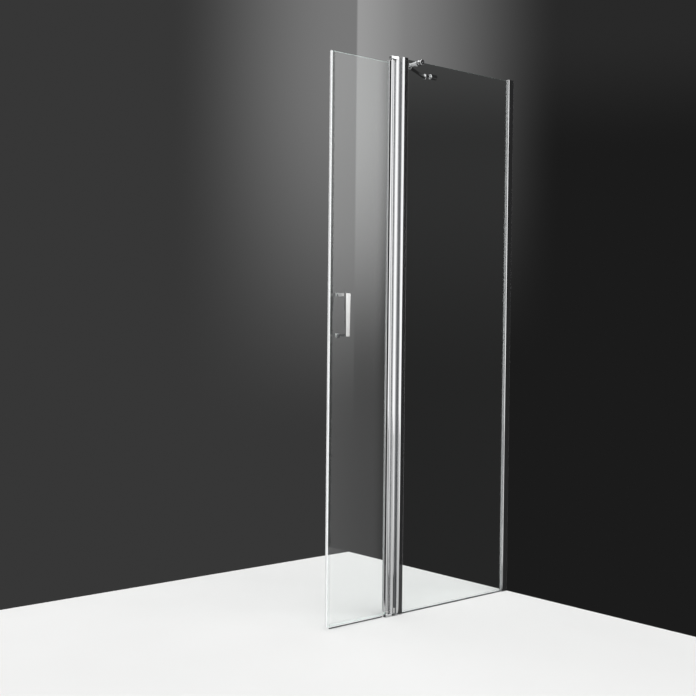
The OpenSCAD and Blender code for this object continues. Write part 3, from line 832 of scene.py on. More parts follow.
@dataclass(frozen=True)
class HingePost(SubAssembly):
    """The tube, the glass profile beside it, the pivot arms and the foot plate."""

    foot: float = 2.0
    foot_edge: float = 0.4
    tube_x: float = -590.0
    tube_r: float = 9.5
    bore_r: float = 7.6
    spigot_r: float = 7.55
    spigot: float = 22.0
    rim: float = 0.3
    tube_low: float = 24.0
    tube_high: float = 1888.5
    fin_low: float = 1.5
    fin_high: float = 4.5
    fin_end: float = -566.0
    fin_sunk: float = 0.6
    groove_half: float = 1.55
    groove_floor: float = -598.35
    set_screw_r: float = 2.45
    set_screw_heights: Pair = (35.0, 1877.5)
    post_front: float = -569.5
    post_back: float = -544.0
    post_half: float = 8.5
    arm_end_r: Pair = (9.0, 9.5)
    arm_edges: Pair = (1.5, 1.0)
    boss_top: float = 1902.5
    boss_bevel: float = 1.5
    top_arm: Pair = (1891.0, 1901.0)
    foot_arm: Pair = (2.0, 10.0)
    pin_r: float = 4.02
    pin_grip: Pair = (7.0, 6.0)

    def pieces(self) -> Pieces:
        """Makes the post's pieces.

        Returns:
            The tube, the glass profile, the arms and the foot plate.
        """
        profile, cast = (BRIGHT_PROFILE, Slot.PROFILE), (BRIGHT_CAST, Slot.CAST)
        cap = end_cap(self.outline(), self.screen, self.screen + self.lid)
        return (
            (self.tube(), "round_tube", *profile, "post_tube"),
            # The fin's dark satin is painted shade for the gap beside the tube.
            (self.fin(), "tube_fin", DARK_SATIN_AND_GAP_SHADE, Slot.PROFILE, "post_tube"),
            (self.glass_profile(), "post_extrusion", *profile, "post_profile"),
            (cap, "post_extrusion_cap", *cast, "post_cap"),
            (self.upper_arm(), "upper_pivot_arm", *cast, "top_pivot_arm"),
            (self.lower_arm(), "lower_pivot_arm", *cast, "bottom_pivot_arm"),
            (self.foot_plate(), "post_foot_plate", STAINLESS, Slot.STEEL, "foot_plate"),
        )

    def tube(self) -> Shape:
        """Extrudes the hollow tube with its seal groove.

        Returns:
            The tube with the holes for the set screws.
        """
        x, r, g = self.tube_x, self.tube_r, self.groove_half
        section = [
            (x - chord(r, g), g), (self.groove_floor, g), (self.groove_floor, -g),
            (x - chord(r, g), -g), Arc(x, 0.0, 360 - 2 * lift(r, g)),
        ]
        bore = [(x + self.bore_r, 0.0), Arc(x, 0.0, 360)]
        shape = extruded([section, bore], self.tube_low, self.tube_high)
        low, high = self.set_screw_heights
        hole = peg(self.set_screw_r, 0.0, r + OVER, (x, 0.0, low), Along.Y.value, 24)
        return carved(shape, repeated(hole, [high - low]))

    def fin(self) -> Shape:
        """Extrudes the fin that runs from the tube into the glass profile, dark as painted shade
        for the gap.

        Returns:
            The fin.
        """
        start = self.tube_x + chord(self.tube_r, self.fin_high) - self.fin_sunk
        section = [
            (start, self.fin_low), (self.fin_end, self.fin_low),
            (self.fin_end, self.fin_high), (start, self.fin_high),
        ]
        return extruded([section], self.tube_low, self.tube_high)

    def outline(self) -> list[Pair | Arc]:
        """Returns the outline of the glass profile's cap.

        Returns:
            A line with a round front and small corners.
        """
        h, back, c = self.post_half, self.post_back, self.small_r
        middle = self.post_front + h
        return [
            (middle, h), Arc(middle, 0.0, 180), (back - c, -h), Arc(back - c, -h + c, 90),
            (back, h - c), Arc(back - c, h - c, 90),
        ]

    def glass_profile(self) -> Shape:
        """Extrudes the round-fronted profile with its glass pocket and fin groove.

        Returns:
            The profile.
        """
        h, back, c = self.post_half, self.post_back, self.small_r
        middle, end = self.post_front + h, self.fin_end - PLAY
        high, low = self.fin_high + PLAY, self.fin_low - PLAY
        pocket, floor = self.pocket_half, back - self.pocket
        section = [
            (middle, h), Arc(middle, 0.0, 90 - lift(h, high)), (end, high), (end, low),
            (middle - chord(h, low), low), Arc(middle, 0.0, 90 + lift(h, low)),
            (back - c, -h), Arc(back - c, -h + c, 90), (back, -pocket), (floor, -pocket),
            (floor, pocket), (back, pocket), (back, h - c), Arc(back - c, h - c, 90),
        ]
        return extruded([section], self.foot, self.screen)

    def arm(self, place: int, ends: Pair, boss: Steps, hole: Pair) -> Shape:
        """Joins a bar, round at the hinge axis, to its boss and drills it for its pin.

        Args:
            place: 0 for the upper arm and 1 for the lower one.
            ends: The bar's underside and its top.
            boss: The line that the boss and its spigot are turned from.
            hole: The foot and the top of the hole.

        Returns:
            The arm.
        """
        x, tube, end, r = self.hinge_x, self.tube_x, self.arm_end_r[place], self.tube_r
        section = [(x, end), Arc(x, 0.0, 180), (tube, -r), (tube, r)]
        bar = rounded(
            extruded([section], *ends), self.arm_edges[place], 5,
            lambda middle: middle.x < tube - NEAR,
        )
        joined = carved(bar, turned(boss, (tube, 0.0, 0.0)), "UNION")
        return carved(joined, peg(self.pin_r, *hole, (x, 0.0, 0.0)))

    def upper_arm(self) -> Shape:
        """Makes the arm above the door.

        Returns:
            The arm.
        """
        r, b, spigot, rim = self.tube_r, self.boss_bevel, self.spigot_r, self.rim
        top, low = self.boss_top, self.tube_high
        boss = [
            (0.0, low - self.spigot), (spigot, low - self.spigot), (spigot, low), (r - rim, low),
            (r, low + rim), (r, top - b), Arc(r - b, top - b, 90), (0.0, top),
        ]
        foot = self.top_arm[0]
        return self.arm(0, self.top_arm, boss, (foot - OVER, foot + self.pin_grip[0]))

    def lower_arm(self) -> Shape:
        """Makes the arm below the door.

        Returns:
            The arm.
        """
        r, spigot, rim, high = self.tube_r, self.spigot_r, self.rim, self.tube_low
        low, top = self.foot_arm
        boss = [
            (0.0, low), (r, low), (r, high - rim), (r - rim, high), (spigot, high),
            (spigot, high + self.spigot), (0.0, high + self.spigot),
        ]
        return self.arm(1, self.foot_arm, boss, (top - self.pin_grip[1], top + OVER))

    def foot_plate(self) -> Shape:
        """Makes the plate under the post.

        Returns:
            The plate with softened edges.
        """
        r, back, c = self.tube_r, self.post_back, self.small_r
        section = [
            (self.hinge_x, r), Arc(self.hinge_x, 0.0, 180), (back - c, -r),
            Arc(back - c, -r + c, 90), (back, r - c), Arc(back - c, r - c, 90),
        ]
        return rounded(extruded([section], 0.0, self.foot), self.foot_edge, 2)


@dataclass(frozen=True)
class DoorLeaf(SubAssembly):
    """The round-nosed door profile and the seals of the door."""

    body: ClassVar[Body] = Body.DOOR
    bush_r: float = 6.9
    groove_at: float = 248.0
    groove_half: float = 0.95
    groove_depth: float = 1.8
    strip_sunk: float = 0.35
    strip_gap: float = 0.02
    lip_reach: float = 17.0
    lip_half: float = 5.4
    lip_root: float = 5.1
    lip_corner: float = 1.3
    slot_half: float = 4.0
    slot_floor: float = -8.3
    profile_low: float = 20.0
    profile_high: float = 1884.0
    edge_x: float = -882.0
    glass_x: float = -876.8
    housing_end: float = -878.0
    seal_wall: float = 1.2
    housing_r: float = 1.6
    seal_grip: float = 10.0
    seal_half: float = 4.2
    leg_thick: float = 0.4
    leg_bend: Pair = (0.4, 1.1)
    leg_root: float = 2.0
    drip_fin: tuple[Pair, ...] = ((0.0, -3.0), (-2.5, -7.0), (-1.6, -7.3), (0.9, -3.4))
    seal_play: float = 0.5
    glass_low: float = 10.8
    glass_high: float = 1877.0
    wiper_low: float = 1.5
    wiper_high: float = 5.0
    wiper_root: float = 0.9
    wiper_neck: Pair = (0.5, 1.0)
    wiper_tip_r: float = 0.4

    def pieces(self) -> Pieces:
        """Makes the door's pieces.

        Returns:
            The profile with its strip, and the seals.
        """
        # The dark vinyl of the groove strip and of the wiper is painted shade.
        seal, soft = (CLEAR_VINYL, Slot.SEAL), (PAINTED_SHADE_VINYL, Slot.GASKET)
        housing = (WHITE_VINYL, Slot.MAGNET)
        return (
            (self.profile(), "door_extrusion", BRIGHT_PROFILE, Slot.PROFILE, "door_profile"),
            (self.groove_shade_strip(), "nose_groove_strip", *soft, "door_profile"),
            (self.magnet_housing(), "edge_seal_housing", *housing, "door_edge_seal"),
            (self.edge_legs(), "edge_seal_legs", *seal, "door_edge_seal"),
            (self.bottom_channel(), "bottom_seal_channel", *seal, "door_bottom_seal"),
            (self.bottom_wiper(), "bottom_seal_wiper", *soft, "door_bottom_seal"),
        )

    def profile(self) -> Shape:
        """Extrudes the keyhole section with its bore, its glass slot and its fine groove.

        Returns:
            The profile.
        """
        x, r, at = self.hinge_x, self.nose_r, self.groove_at
        lip, half, c = x - self.lip_reach, self.lip_half, self.lip_corner
        root, notch = lift(r, self.lip_root), lift(r, self.groove_half)
        slot, inner = x + self.slot_floor, r - self.groove_depth
        section = [
            (x - chord(r, self.lip_root), -self.lip_root), Arc(x, 0.0, at - notch - 180 - root),
            self.on_nose(inner, at - notch), self.on_nose(inner, at + notch),
            self.on_nose(r, at + notch), Arc(x, 0.0, 540 - root - at - notch),
            (lip + c, half), Arc(lip + c, half - c, 90), (lip, self.slot_half),
            (slot, self.slot_half), (slot, -self.slot_half), (lip, -self.slot_half),
            (lip, -half + c), Arc(lip + c, -half + c, 90),
        ]
        bore = [(x + self.bush_r, 0.0), Arc(x, 0.0, 360)]
        return extruded([section, bore], self.profile_low, self.profile_high)

    def on_nose(self, radius: float, degrees: float) -> Pair:
        """Returns a point of the section by its distance and azimuth from the hinge axis."""
        angle = math.radians(degrees)
        return self.hinge_x + radius * math.cos(angle), radius * math.sin(angle)

    def groove_shade_strip(self) -> Shape:
        """Extrudes the strip that lies in the fine groove. Its dark finish is painted shade.

        Returns:
            The strip.
        """
        side = lift(self.nose_r, self.groove_half - self.strip_gap)
        low = self.nose_r - self.groove_depth + self.strip_gap
        high = self.nose_r - self.strip_sunk
        section = [
            self.on_nose(radius, self.groove_at + turn)
            for radius, turn in ((low, -side), (high, -side), (high, side), (low, side))
        ]
        return extruded([section], self.profile_low, self.profile_high)

    def magnet_housing(self) -> Shape:
        """Extrudes the white nose on the door's free edge, hollow for the magnet.

        Returns:
            The housing with its rounded nose.
        """
        near, far, h, r = self.edge_x, self.housing_end, self.seal_half, self.housing_r
        inner, floor = self.glass_half, near + self.seal_wall
        section = [
            (near + r, h), Arc(near + r, h - r, 90), (near, -h + r), Arc(near + r, -h + r, 90),
            (far, -h), (far, -inner), (floor, -inner), (floor, inner), (far, inner), (far, h),
        ]
        return extruded([section], self.glass_low, self.glass_high)

    def edge_legs(self) -> Shape:
        """Extrudes the clear part with two thin legs that grip the glass.

        Returns:
            The clear part.
        """
        start, web, tip = self.housing_end + PLAY, self.glass_x, self.glass_x + self.seal_grip
        h, glass = self.seal_half - PLAY, self.glass_half + PLAY
        leg, (bend, root) = glass + self.leg_thick, self.leg_bend
        section = [
            (start, h), (start, -h), (web + bend, -h), (web + root, -leg), (tip, -leg),
            (tip, -glass), (web - PLAY, -glass), (web - PLAY, glass), (tip, glass), (tip, leg),
            (web + root, leg), (web + bend, h),
        ]
        return extruded([section], self.glass_low, self.glass_high)

    def bottom_span(self) -> Pair:
        """Returns where the seal under the door starts and ends."""
        start, end = self.glass_x + self.seal_grip, self.hinge_x - self.lip_reach
        return start + self.seal_play, end - self.seal_play

    def bottom_channel(self) -> Shape:
        """Extrudes the clear channel with its drip fin.

        Returns:
            The channel.
        """
        low, h, wall, root = self.glass_low, self.seal_half, self.seal_wall, self.wiper_root
        web, high, top = low - wall, self.wiper_high + PLAY, low + self.seal_grip - wall
        glass, bend = self.glass_half + PLAY, low + self.leg_root
        leg = glass + self.leg_thick
        section = [
            (-glass, top), (-leg, top), (-h, bend),
            *((x - h, low + z) for x, z in self.drip_fin), (wall - h, web),
            (-root, web), (-root, high), (root, high), (root, web), (h, web), (h, bend),
            (leg, top), (glass, top), (glass, low - PLAY), (-glass, low - PLAY),
        ]
        return extruded([section], *self.bottom_span(), Along.X)

    def bottom_wiper(self) -> Shape:
        """Extrudes the wiper lip under the channel, dark as painted shade under the door.

        Returns:
            The wiper.
        """
        top, root, r = self.wiper_high, self.wiper_root, self.wiper_tip_r
        neck, drop = self.wiper_neck
        tip, low = self.wiper_low + r, top - drop
        section = [
            (-root, top), (-neck, low), (-r, tip), Arc(0.0, tip, 180), (neck, low), (root, top),
        ]
        return extruded([section], *self.bottom_span(), Along.X)


@dataclass(frozen=True)
class PanelSeal(SubAssembly):
    """The seal under the fixed glass: a clear channel on a foot that is dark as painted shade."""

    span: Pair = (-543.5, -28.5)
    half: float = 4.2
    glass_low: float = 3.0
    lip: float = 0.5
    lip_high: float = 9.0
    foot_high: float = 2.3
    foot_in: float = 0.6
    foot_edge: float = 0.8
    leg_root: float = 1.5

    def pieces(self) -> Pieces:
        """Makes the two parts of the seal.

        Returns:
            The channel and the foot.
        """
        glass, lip = self.glass_half + PLAY, self.lip
        floor, h, top, foot = self.glass_low - PLAY, self.half, self.lip_high, self.foot_high
        root, sole, edge = floor + self.leg_root, h - self.foot_in, self.foot_edge
        channel = [
            (-glass, top), (-glass - lip, top), (-h, root), (-h, foot), (h, foot), (h, root),
            (glass + lip, top), (glass, top), (glass, floor), (-glass, floor),
        ]
        foot_line = [
            (-sole, 0.0), (sole, 0.0), (h, edge), (h, foot - PLAY), (-h, foot - PLAY), (-h, edge),
        ]
        return (
            (extruded([channel], *self.span, Along.X), "panel_seal_channel", CLEAR_VINYL,
             Slot.SEAL, "fixed_bottom_seal"),
            # The foot's dark vinyl is painted shade under the glass.
            (extruded([foot_line], *self.span, Along.X), "panel_seal_foot", PAINTED_SHADE_VINYL,
             Slot.GASKET, "fixed_bottom_seal"),
        )


@dataclass(frozen=True)
class BarHandle(SubAssembly):
    """The tapered bar on the door, its arms, and the round plates on both faces."""

    body: ClassVar[Body] = Body.DOOR
    x: float = -840.8
    top_z: float = 1093.0
    low_z: float = 961.0
    front: float = -51.0
    width: Pair = (20.5, 16.0)
    thickness: Pair = (10.0, 5.0)
    edge: float = 1.0
    arm_size: Pair = (10.0, 11.0)
    arm_edge: float = 1.2
    stand_off_r: float = 3.6
    stand_off_gap: float = 0.3
    bolt_r: float = 2.55
    plate_r: float = 7.0
    plate_t: float = 2.0
    plate_dome: tuple[Pair, ...] = ((0.0, 1.3), (0.4, 0.9), (2.2, 0.35))
    cap_r: float = 9.0
    cap_t: float = 4.0
    cap_foot: float = 3.8
    cap_edge: float = 1.2
    recess_r: float = 5.6
    recess_edge: float = 0.4
    recess_floor: float = 1.5

    def pieces(self) -> Pieces:
        """Makes the handle's pieces.

        Returns:
            The bar, its two arms and the plates and caps against the glass.
        """
        cast, back = (BRIGHT_CAST, Slot.CAST), -self.glass_half - self.plate_t
        start = self.front + self.thickness[1] + self.stand_off_gap
        stand_off = peg(
            self.stand_off_r, start, back, (self.x, 0.0, self.low_z), Along.Y.value, 40
        )
        return (
            (self.bar(), "grip_bar", SILK_CHROME, Slot.CAST, "handle_bar"),
            (self.upper_arm(), "grip_upper_arm", PEARL_CHROME, Slot.CAST, "handle_upper_arm"),
            (stand_off, "grip_stand_off", *cast, "handle_lower_arm"),
            (self.plates(), "grip_plates", DARK_SATIN_AND_GAP_SHADE, Slot.CAST, "handle_rosettes"),
            (self.inner_caps(), "grip_inner_caps", *cast, "handle_inner_caps"),
        )

    def bar(self) -> Shape:
        """Tapers a block towards its foot and rounds it.

        Returns:
            The bar.
        """
        top, foot = self.top_z + self.arm_size[1] / 2, self.low_z - self.stand_off_r
        shape = block((-0.5, 0.0, foot), (0.5, 1.0, top))
        for vert in shape.verts:
            end = 0 if vert.co.z > self.low_z else 1
            vert.co.x = self.x + vert.co.x * self.width[end]
            vert.co.y = self.front + vert.co.y * self.thickness[end]
        return rounded(shape, self.edge, 5)

    def upper_arm(self) -> Shape:
        """Makes the square arm from the bar's back to its plate.

        Returns:
            The arm.
        """
        across, high = (size / 2 for size in self.arm_size)
        low = (self.x - across, self.front + self.thickness[0], self.top_z - high)
        top = (self.x + across, -self.glass_half - self.plate_t, self.top_z + high)
        return rounded(block(low, top), self.arm_edge, 3)

    def rings(self, line: Steps, count: int) -> Shape:
        """Turns a ring about each of the two fixings.

        Args:
            line: The ring's section.
            count: Steps of the full turn.

        Returns:
            Both rings in one mesh.
        """
        ring = turned(line, (self.x, 0.0, self.top_z), Along.Y.value, closed=True, count=count)
        return repeated(ring, [self.low_z - self.top_z])

    def plates(self) -> Shape:
        """Turns the thin round plates against the glass.

        Returns:
            Both plates, slightly domed.
        """
        r, back = self.plate_r, -self.glass_half
        front = back - self.plate_t
        dome = ((r - inward, front + rise) for inward, rise in self.plate_dome)
        line = [(self.bolt_r, back), (r, back), *dome, (self.bolt_r, front)]
        return self.rings(line, 48)

    def inner_caps(self) -> Shape:
        """Turns the round caps inside the shower, each with a recess for its bolt.

        Returns:
            Both caps.
        """
        r, foot, top, edge = self.cap_r, self.cap_foot, self.cap_foot + self.cap_t, self.cap_edge
        floor, hole, rim = foot + self.recess_floor, self.recess_r, self.recess_edge
        line = [
            (self.bolt_r, foot), (r, foot), (r, top - edge), Arc(r - edge, top - edge, 90),
            (hole + rim, top), (hole, top - rim), (hole, floor), (self.bolt_r, floor),
        ]
        return self.rings(line, 56)


@dataclass(frozen=True)
class Brace(SubAssembly):
    """The bar from the top of the fixed glass to the side wall, with its clamp and cup."""

    clamp_at: Point = (-487.0, 0.0, 1896.0)
    clamp_r: float = 10.0
    clamp_out: float = 19.0
    clamp_in: float = 13.0
    ring_out: float = 2.0
    ring: tuple[Pair, ...] = ((0.0, 1.8), (0.9, 1.2), (0.9, 0.6), (0.0, 0.0))
    neck_r: float = 7.0
    neck: float = 22.0
    neck_edge: float = 1.5
    stem_r: float = 3.8
    stem_sunk: float = 1.0
    reach: float = 46.0
    slot_half: float = 3.75
    slot_top: float = 1900.75
    grub_r: float = 2.55
    chamfer: float = 0.3
    boss_r: float = 6.0
    boss_h: float = 8.0
    boss_edge: float = 0.8
    drop: float = 8.1
    cup_at: Point = (0.0, 402.0, 1976.0)
    cup_foot: float = 0.4
    cup_depth: float = 34.0
    cup_edge: float = 2.2
    cup_reach: float = 62.0
    cup_wall: float = 1.4
    cup_floor: float = 6.0
    bar_r: float = 5.5
    bar_edge: float = 0.25
    bar_wall: float = 1.2
    waist_r: float = 3.0
    waist: float = 13.0
    waist_rise: float = 2.0
    shoulder: float = 0.5
    collar: float = 22.0
    plug: float = 14.0

    def pieces(self) -> Pieces:
        """Makes the brace's pieces.

        Returns:
            The clamp, the bar, its end fittings and the cup.
        """
        cast = (BRIGHT_CAST, Slot.CAST)
        return (
            (self.clamp(), "brace_clamp_body", *cast, "brace_glass_clamp"),
            (self.tube(), "brace_bar", *cast, "brace_tube"),
            (self.fitting(False), "brace_clamp_fitting", *cast, "brace_glass_end"),
            (self.fitting(True), "brace_cup_fitting", *cast, "brace_wall_end"),
            (self.cup(), "brace_cup", *cast, "brace_wall_cup"),
        )

    def ends(self) -> tuple[Vector, Vector]:
        """Returns the two points between which the bar runs."""
        start = Vector(self.clamp_at) + Vector((0.0, self.reach, -self.drop))
        return start, Vector(self.cup_at) + Vector((-self.cup_reach, 0.0, -self.drop))

    def with_boss(self, shape: Shape, centre: Vector) -> Shape:
        """Joins an upright swivel boss to a shape.

        Args:
            shape: The shape. It is used up.
            centre: The boss's middle.

        Returns:
            The shape with its boss.
        """
        r, h, b = self.boss_r, self.boss_h / 2, self.boss_edge
        line = [
            (0.0, -h), (r - b, -h), Arc(r - b, -h + b, 90), (r, h - b), Arc(r - b, h - b, 90),
            (0.0, h),
        ]
        return carved(shape, turned(line, centre, count=40), "UNION")

    def clamp(self) -> Shape:
        """Turns the clamp with its ring and neck, and slots it over the glass.

        Returns:
            The clamp with its stem and boss.
        """
        r, out, c = self.clamp_r, self.clamp_out, self.stem_sunk
        neck, end, edge = self.neck_r, self.clamp_in + self.neck, self.neck_edge
        start = -self.slot_half - self.ring_out
        ring = ((r - deep, start - before) for deep, before in self.ring)
        line = [
            (0.0, -out), (r - c, -out), Arc(r - c, c - out, 90), *ring, (r, self.clamp_in - c),
            Arc(r - c, self.clamp_in - c, 90), (neck, self.clamp_in), (neck, end - edge),
            Arc(neck - edge, end - edge, 90), (self.stem_r, end),
            (self.stem_r, self.reach - c), (0.0, self.reach - c),
        ]
        body = turned(line, self.clamp_at, Along.Y.value)
        x, _, z = self.clamp_at
        side, half = r + OVER, self.slot_half
        slot = block((x - side, -half, z - side), (x + side, half, self.slot_top))
        bore, flare = OVER - half, self.chamfer
        socket = [
            (0.0, -out - OVER), (self.grub_r + flare + OVER, -out - OVER),
            (self.grub_r, flare - out), (self.grub_r, bore), (0.0, bore),
        ]
        body = carved(carved(body, slot), turned(socket, self.clamp_at, Along.Y.value, count=28))
        return self.with_boss(body, Vector(self.clamp_at) + Vector((0, self.reach, 0)))

    def tube(self) -> Shape:
        """Turns the bar between its end fittings.

        Returns:
            The hollow bar.
        """
        start, stop = self.ends()
        run, r, edge = stop - start, self.bar_r, self.bar_edge
        low, high, inner = self.collar, run.length - self.collar, r - self.bar_wall
        line = [
            (inner, low), (r - edge, low), (r, low + edge), (r, high - edge), (r - edge, high),
            (inner, high),
        ]
        return turned(line, start, run, closed=True, count=40)

    def fitting(self, at_wall: bool) -> Shape:
        """Turns an end fitting and joins it to its boss.

        Args:
            at_wall: Whether it is the one at the wall.

        Returns:
            The fitting.
        """
        origin, other = reversed(self.ends()) if at_wall else self.ends()
        r, waist, edge, end = self.bar_r, self.waist_r, self.bar_edge, self.collar
        stub, tip, start = r - edge - self.stem_sunk, end + self.plug, self.stem_sunk
        low, turn = self.waist + self.waist_rise, self.shoulder
        line = [
            (0.0, start), (waist, start), (waist, self.waist), (r - turn, low),
            Arc(r - turn, low + turn, 90), (r, end - edge), (r - edge, end), (stub, end),
            (stub, tip), (0.0, tip),
        ]
        return self.with_boss(turned(line, origin, other - origin, count=40), origin)

    def cup(self) -> Shape:
        """Turns the cup on the wall with its stem and boss.

        Returns:
            The cup.
        """
        r, depth, foot, edge = self.clamp_r, self.cup_depth, self.cup_foot, self.cup_edge
        rim, stem = self.chamfer, self.cup_reach - self.stem_sunk
        inner, floor = r - self.cup_wall, depth - self.cup_floor
        line = [
            (inner, foot), (r - rim, foot), (r, foot + rim), (r, depth - edge),
            Arc(r - edge, depth - edge, 90), (self.stem_r, depth), (self.stem_r, stem),
            (0.0, stem), (0.0, floor), (inner, floor), (inner, foot),
        ]
        shape = turned(line, self.cup_at, (-1.0, 0.0, 0.0))
        return self.with_boss(shape, Vector(self.cup_at) - Vector((self.cup_reach, 0, 0)))


# The studio


@dataclass(frozen=True)
class Softbox:
    """A soft bright patch of the surroundings, in degrees as seen from the object."""

    azimuth: float
    half_width: float
    low: float
    high: float
    strength: float
    edge: float = 6.0
    side: float = 6.0

    def add_to(self, nodes: NodeTree, heading: Sequence[Socket], height: Socket) -> Socket:
        """Adds the patch to the world's nodes.

        Args:
            nodes: The world's nodes.
            heading: The X and Y shares of the level direction.
            height: The elevation in degrees.

        Returns:
            The patch's light in this direction.
        """
        along = nodes.math("MINIMUM", nodes.toward(heading, self.azimuth), ALMOST_ONE)
        turn = nodes.math("DEGREES", nodes.math("ARCCOSINE", along))
        reach, side, edge = self.half_width, self.side, self.edge
        wide = nodes.map_range(turn, reach - side, reach + side, 1.0, 0.0)
        high = nodes.band(
            height, (self.low - edge, self.low + edge), (self.high - edge, self.high + edge)
        )
        return nodes.math("MULTIPLY", nodes.math("MULTIPLY", wide, high), self.strength)


@dataclass(frozen=True)
class Studio:
    """A pale floor, a plain grey surrounding and broad soft light.

    Two angles, in degrees of azimuth or elevation, say where a brightness starts to change and
    where that ends. Two more numbers give the brightness before and after the change.
    """

    floor_colour: Point = (0.80, 0.80, 0.795)
    floor_shade: float = 0.97
    floor_far: Pair = (0.0, 0.9)
    floor_reach: float = 7.0
    floor_z: float = -0.0002
    floor_reflected: Pair = (0.04, 0.8)
    floor_front: tuple[Pair, Pair] = ((-160.0, -150.0), (-52.0, -47.0))
    floor_back: tuple[Pair, Pair] = ((15.0, 35.0), (145.0, 160.0))
    floor_behind: float = 0.5
    hinge_x: float = -0.6
    overhead: float = 1.5
    overhead_from: Pair = (28.0, 48.0)
    overhead_azimuth: float = 230.0
    overhead_drop: tuple[float, ...] = (0.0, 0.35, 20.0, 0.0)
    dim: float = 0.03
    grey: float = 0.038
    wall_line: Pair = (48.62, 48.74)
    panel_side: tuple[Pair, Pair] = ((10.0, 25.0), (46.2, 46.9))
    panel_grey: tuple[float, ...] = (8.0, 14.0, 0.011, 0.022)
    panel_veil: tuple[float, ...] = (-4.0, 8.0, 0.017, 0.029)
    panel_top_veil: tuple[float, ...] = (8.5, 14.0, 0.0, 0.03)
    left_glow: tuple[float, ...] = (49.0, 58.0, 0.15, 0.0)
    left_rise: Pair = (-6.5, 13.0)
    right_glow: tuple[float, ...] = (38.5, 50.5, 0.0, 0.27)
    line_glow: tuple[float, ...] = (46.5, 48.7, 0.0, 0.035)
    right_rise: Pair = (-2.5, 10.5)
    softboxes: tuple[Softbox, ...] = (
        Softbox(258.0, 51.0, -30.0, 60.0, 1.45, side=4.0),
        Softbox(340.0, 17.0, -30.0, 18.0, 0.8, edge=4.0, side=0.8),
        Softbox(310.6, 2.1, 0.25, 60.0, 1.95, edge=4.75, side=0.4),
        Softbox(310.6, 2.1, -30.0, 60.0, 0.55, side=0.4),
        Softbox(105.0, 26.0, 17.0, 60.0, 1.2),
        Softbox(142.0, 10.0, -30.0, 60.0, 0.5),
        Softbox(100.0, 50.0, -75.0, -8.0, 0.5, side=10.0),
    )

    def build(self) -> None:
        """Makes the floor, which ends behind the screen, and the surroundings."""
        shape = bmesh.new()
        half = self.floor_reach / 2
        bmesh.ops.create_grid(shape, x_segments=1, y_segments=1, size=half)
        middle = (*(far - half for far in self.floor_far), self.floor_z)
        bmesh.ops.translate(shape, verts=shape.verts, vec=middle)
        floor = placed(shape, "floor")
        dark = tuple(self.floor_shade * share for share in self.floor_colour)
        finish = Finish(
            "pale_floor", self.floor_colour, dark, (0.45, 0.55), (2.0, 2.0, 2.0), ior=1.1
        )
        floor.data.materials.append(finish.build(self.shade_mirrored))
        self.build_world()

    def shade_mirrored(self, nodes: NodeTree, colour: Socket) -> Socket:
        """Makes the floor darker where polished metal mirrors it from beside the screen.

        Args:
            nodes: The floor's nodes.
            colour: The floor's own colour.

        Returns:
            The colour that a ray sees.
        """
        split = nodes.add("SeparateXYZ", {0: nodes.add("TexCoord").outputs["Object"]}).outputs
        offset = nodes.math("SUBTRACT", split["X"], self.hinge_x)
        around = nodes.math("DEGREES", nodes.math("ARCTAN2", split["Y"], offset))
        behind = nodes.math("MULTIPLY", nodes.band(around, *self.floor_back), self.floor_behind)
        bright = nodes.math("ADD", nodes.band(around, *self.floor_front), behind)
        path = nodes.add("LightPath").outputs
        opaque = nodes.math("SUBTRACT", 1.0, path["Is Transmission Ray"])
        mirrored = nodes.math("MULTIPLY", path["Is Glossy Ray"], opaque)
        share = nodes.mix(mirrored, 1.0, nodes.mix(bright, *self.floor_reflected))
        return nodes.add("VectorMath", {0: colour, "Scale": share}, operation="SCALE").outputs[0]

    def build_world(self) -> None:
        """Makes the surroundings: a grey backdrop, an overhead light and softboxes."""
        world = bpy.data.worlds.new("studio")
        bpy.context.scene.world = world
        nodes = NodeTree(world)
        direction = nodes.add("TexCoord").outputs["Generated"]
        split = nodes.add("SeparateXYZ", {0: direction}).outputs
        height = nodes.math("DEGREES", nodes.math("ARCSINE", split["Z"]))
        squares = (nodes.math("MULTIPLY", split[name], split[name]) for name in ("X", "Y"))
        level = nodes.math("MAXIMUM", nodes.math("SQRT", nodes.math("ADD", *squares)), ALMOST_NONE)
        heading = [nodes.math("DIVIDE", split[name], level) for name in ("X", "Y")]
        light = self.dim
        for softbox in self.softboxes:
            light = nodes.math("ADD", light, softbox.add_to(nodes, heading, height))
        path = nodes.add("LightPath").outputs
        through = path["Is Transmission Ray"]
        seen = nodes.math("MAXIMUM", path["Is Camera Ray"], through)
        around = nodes.math("DEGREES", nodes.math("ARCTAN2", heading[1], heading[0]))
        total = nodes.mix(seen, light, self.backdrop(nodes, around, height, through))
        total = nodes.math("ADD", total, self.ceiling(nodes, heading, height))
        background = nodes.add("Background", {"Color": total})
        nodes.add("OutputWorld", {0: background.outputs[0]})

    def ceiling(self, nodes: NodeTree, heading: Sequence[Socket], height: Socket) -> Socket:
        """Makes the overhead light, which reaches lowest on the camera's side.

        Args:
            nodes: The world's nodes.
            heading: The X and Y shares of the level direction.
            height: The elevation in degrees.

        Returns:
            The overhead light in this direction.
        """
        along = nodes.toward(heading, self.overhead_azimuth)
        low = nodes.math("SUBTRACT", height, nodes.map_range(along, *self.overhead_drop))
        return nodes.map_range(low, *self.overhead_from, 0.0, self.overhead)

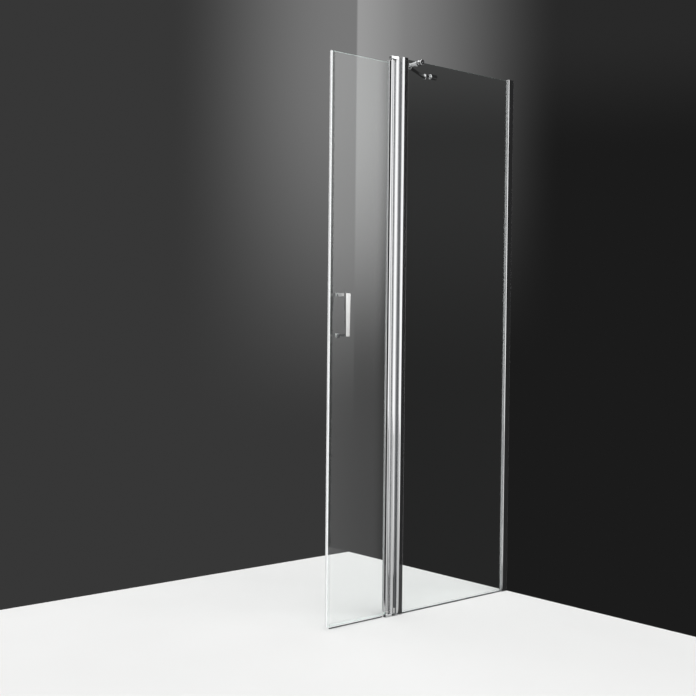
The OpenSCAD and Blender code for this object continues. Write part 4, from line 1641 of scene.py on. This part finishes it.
    def backdrop(self, nodes: NodeTree, around: Socket, height: Socket, through: Socket) -> Socket:
        """Makes a plain grey backdrop, a little lighter high up behind the door.

        Args:
            nodes: The world's nodes.
            around: The azimuth in degrees.
            height: The elevation in degrees.
            through: Whether the ray came through glass.

        Returns:
            The backdrop's brightness in this direction.
        """
        leftward = nodes.map_range(around, *self.wall_line, 0.0, 1.0)
        beyond = nodes.band(around, *self.panel_side)
        glow = nodes.map_range(around, *self.left_glow)
        left = nodes.math("MULTIPLY", glow, nodes.map_range(height, *self.left_rise, 0.0, 1.0))
        glows = (nodes.map_range(around, *ends) for ends in (self.right_glow, self.line_glow))
        rise = nodes.map_range(height, *self.right_rise, 0.0, 1.0)
        right = nodes.math("MULTIPLY", nodes.math("ADD", *glows), rise)
        base = nodes.mix(beyond, self.grey, nodes.map_range(height, *self.panel_grey))
        direct = nodes.math("ADD", base, nodes.mix(leftward, right, left))
        veils = (nodes.map_range(height, *ends) for ends in (self.panel_veil, self.panel_top_veil))
        shaded = nodes.math("ADD", *veils)
        return nodes.mix(nodes.math("MULTIPLY", beyond, through), direct, shaded)


@dataclass(frozen=True)
class Viewpoint:
    """The camera at the photograph's place and angle."""

    place: Point = (-3.2579, -2.8301, 1.0191)
    ahead: Point = (0.6561, 0.7542, -0.0266)
    upward: Point = (0.0098, 0.0267, 0.9996)
    focal_px: float = 1142.39
    frame_px: float = 696.0
    sensor_mm: float = 36.0
    clip: Pair = (0.05, 60.0)

    def build(self) -> None:
        """Makes the camera and sets it as the scene's."""
        data = bpy.data.cameras.new("view")
        data.sensor_width = self.sensor_mm
        data.lens = self.focal_px / self.frame_px * self.sensor_mm
        data.clip_start, data.clip_end = self.clip
        camera = bpy.data.objects.new("view", data)
        back = -Vector(self.ahead).normalized()
        right = Vector(self.upward).cross(back).normalized()
        turn = Matrix((right, back.cross(right), back)).transposed().to_4x4()
        camera.matrix_world = Matrix.Translation(self.place) @ turn
        bpy.context.scene.collection.objects.link(camera)
        bpy.context.scene.camera = camera


def main() -> None:
    """Loads the frame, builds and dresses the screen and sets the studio."""
    logging.basicConfig(level=logging.INFO, format="%(name)s: %(message)s")
    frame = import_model()
    bpy.context.scene.view_settings.view_transform = "Standard"
    shop = Workshop(frame)
    shop.dress_nodes()
    for part in (WallSide(), HingePost(), DoorLeaf(), PanelSeal(), BarHandle(), Brace()):
        part.build(shop)
    Studio().build()
    Viewpoint().build()


if __name__ == "__main__":
    main()
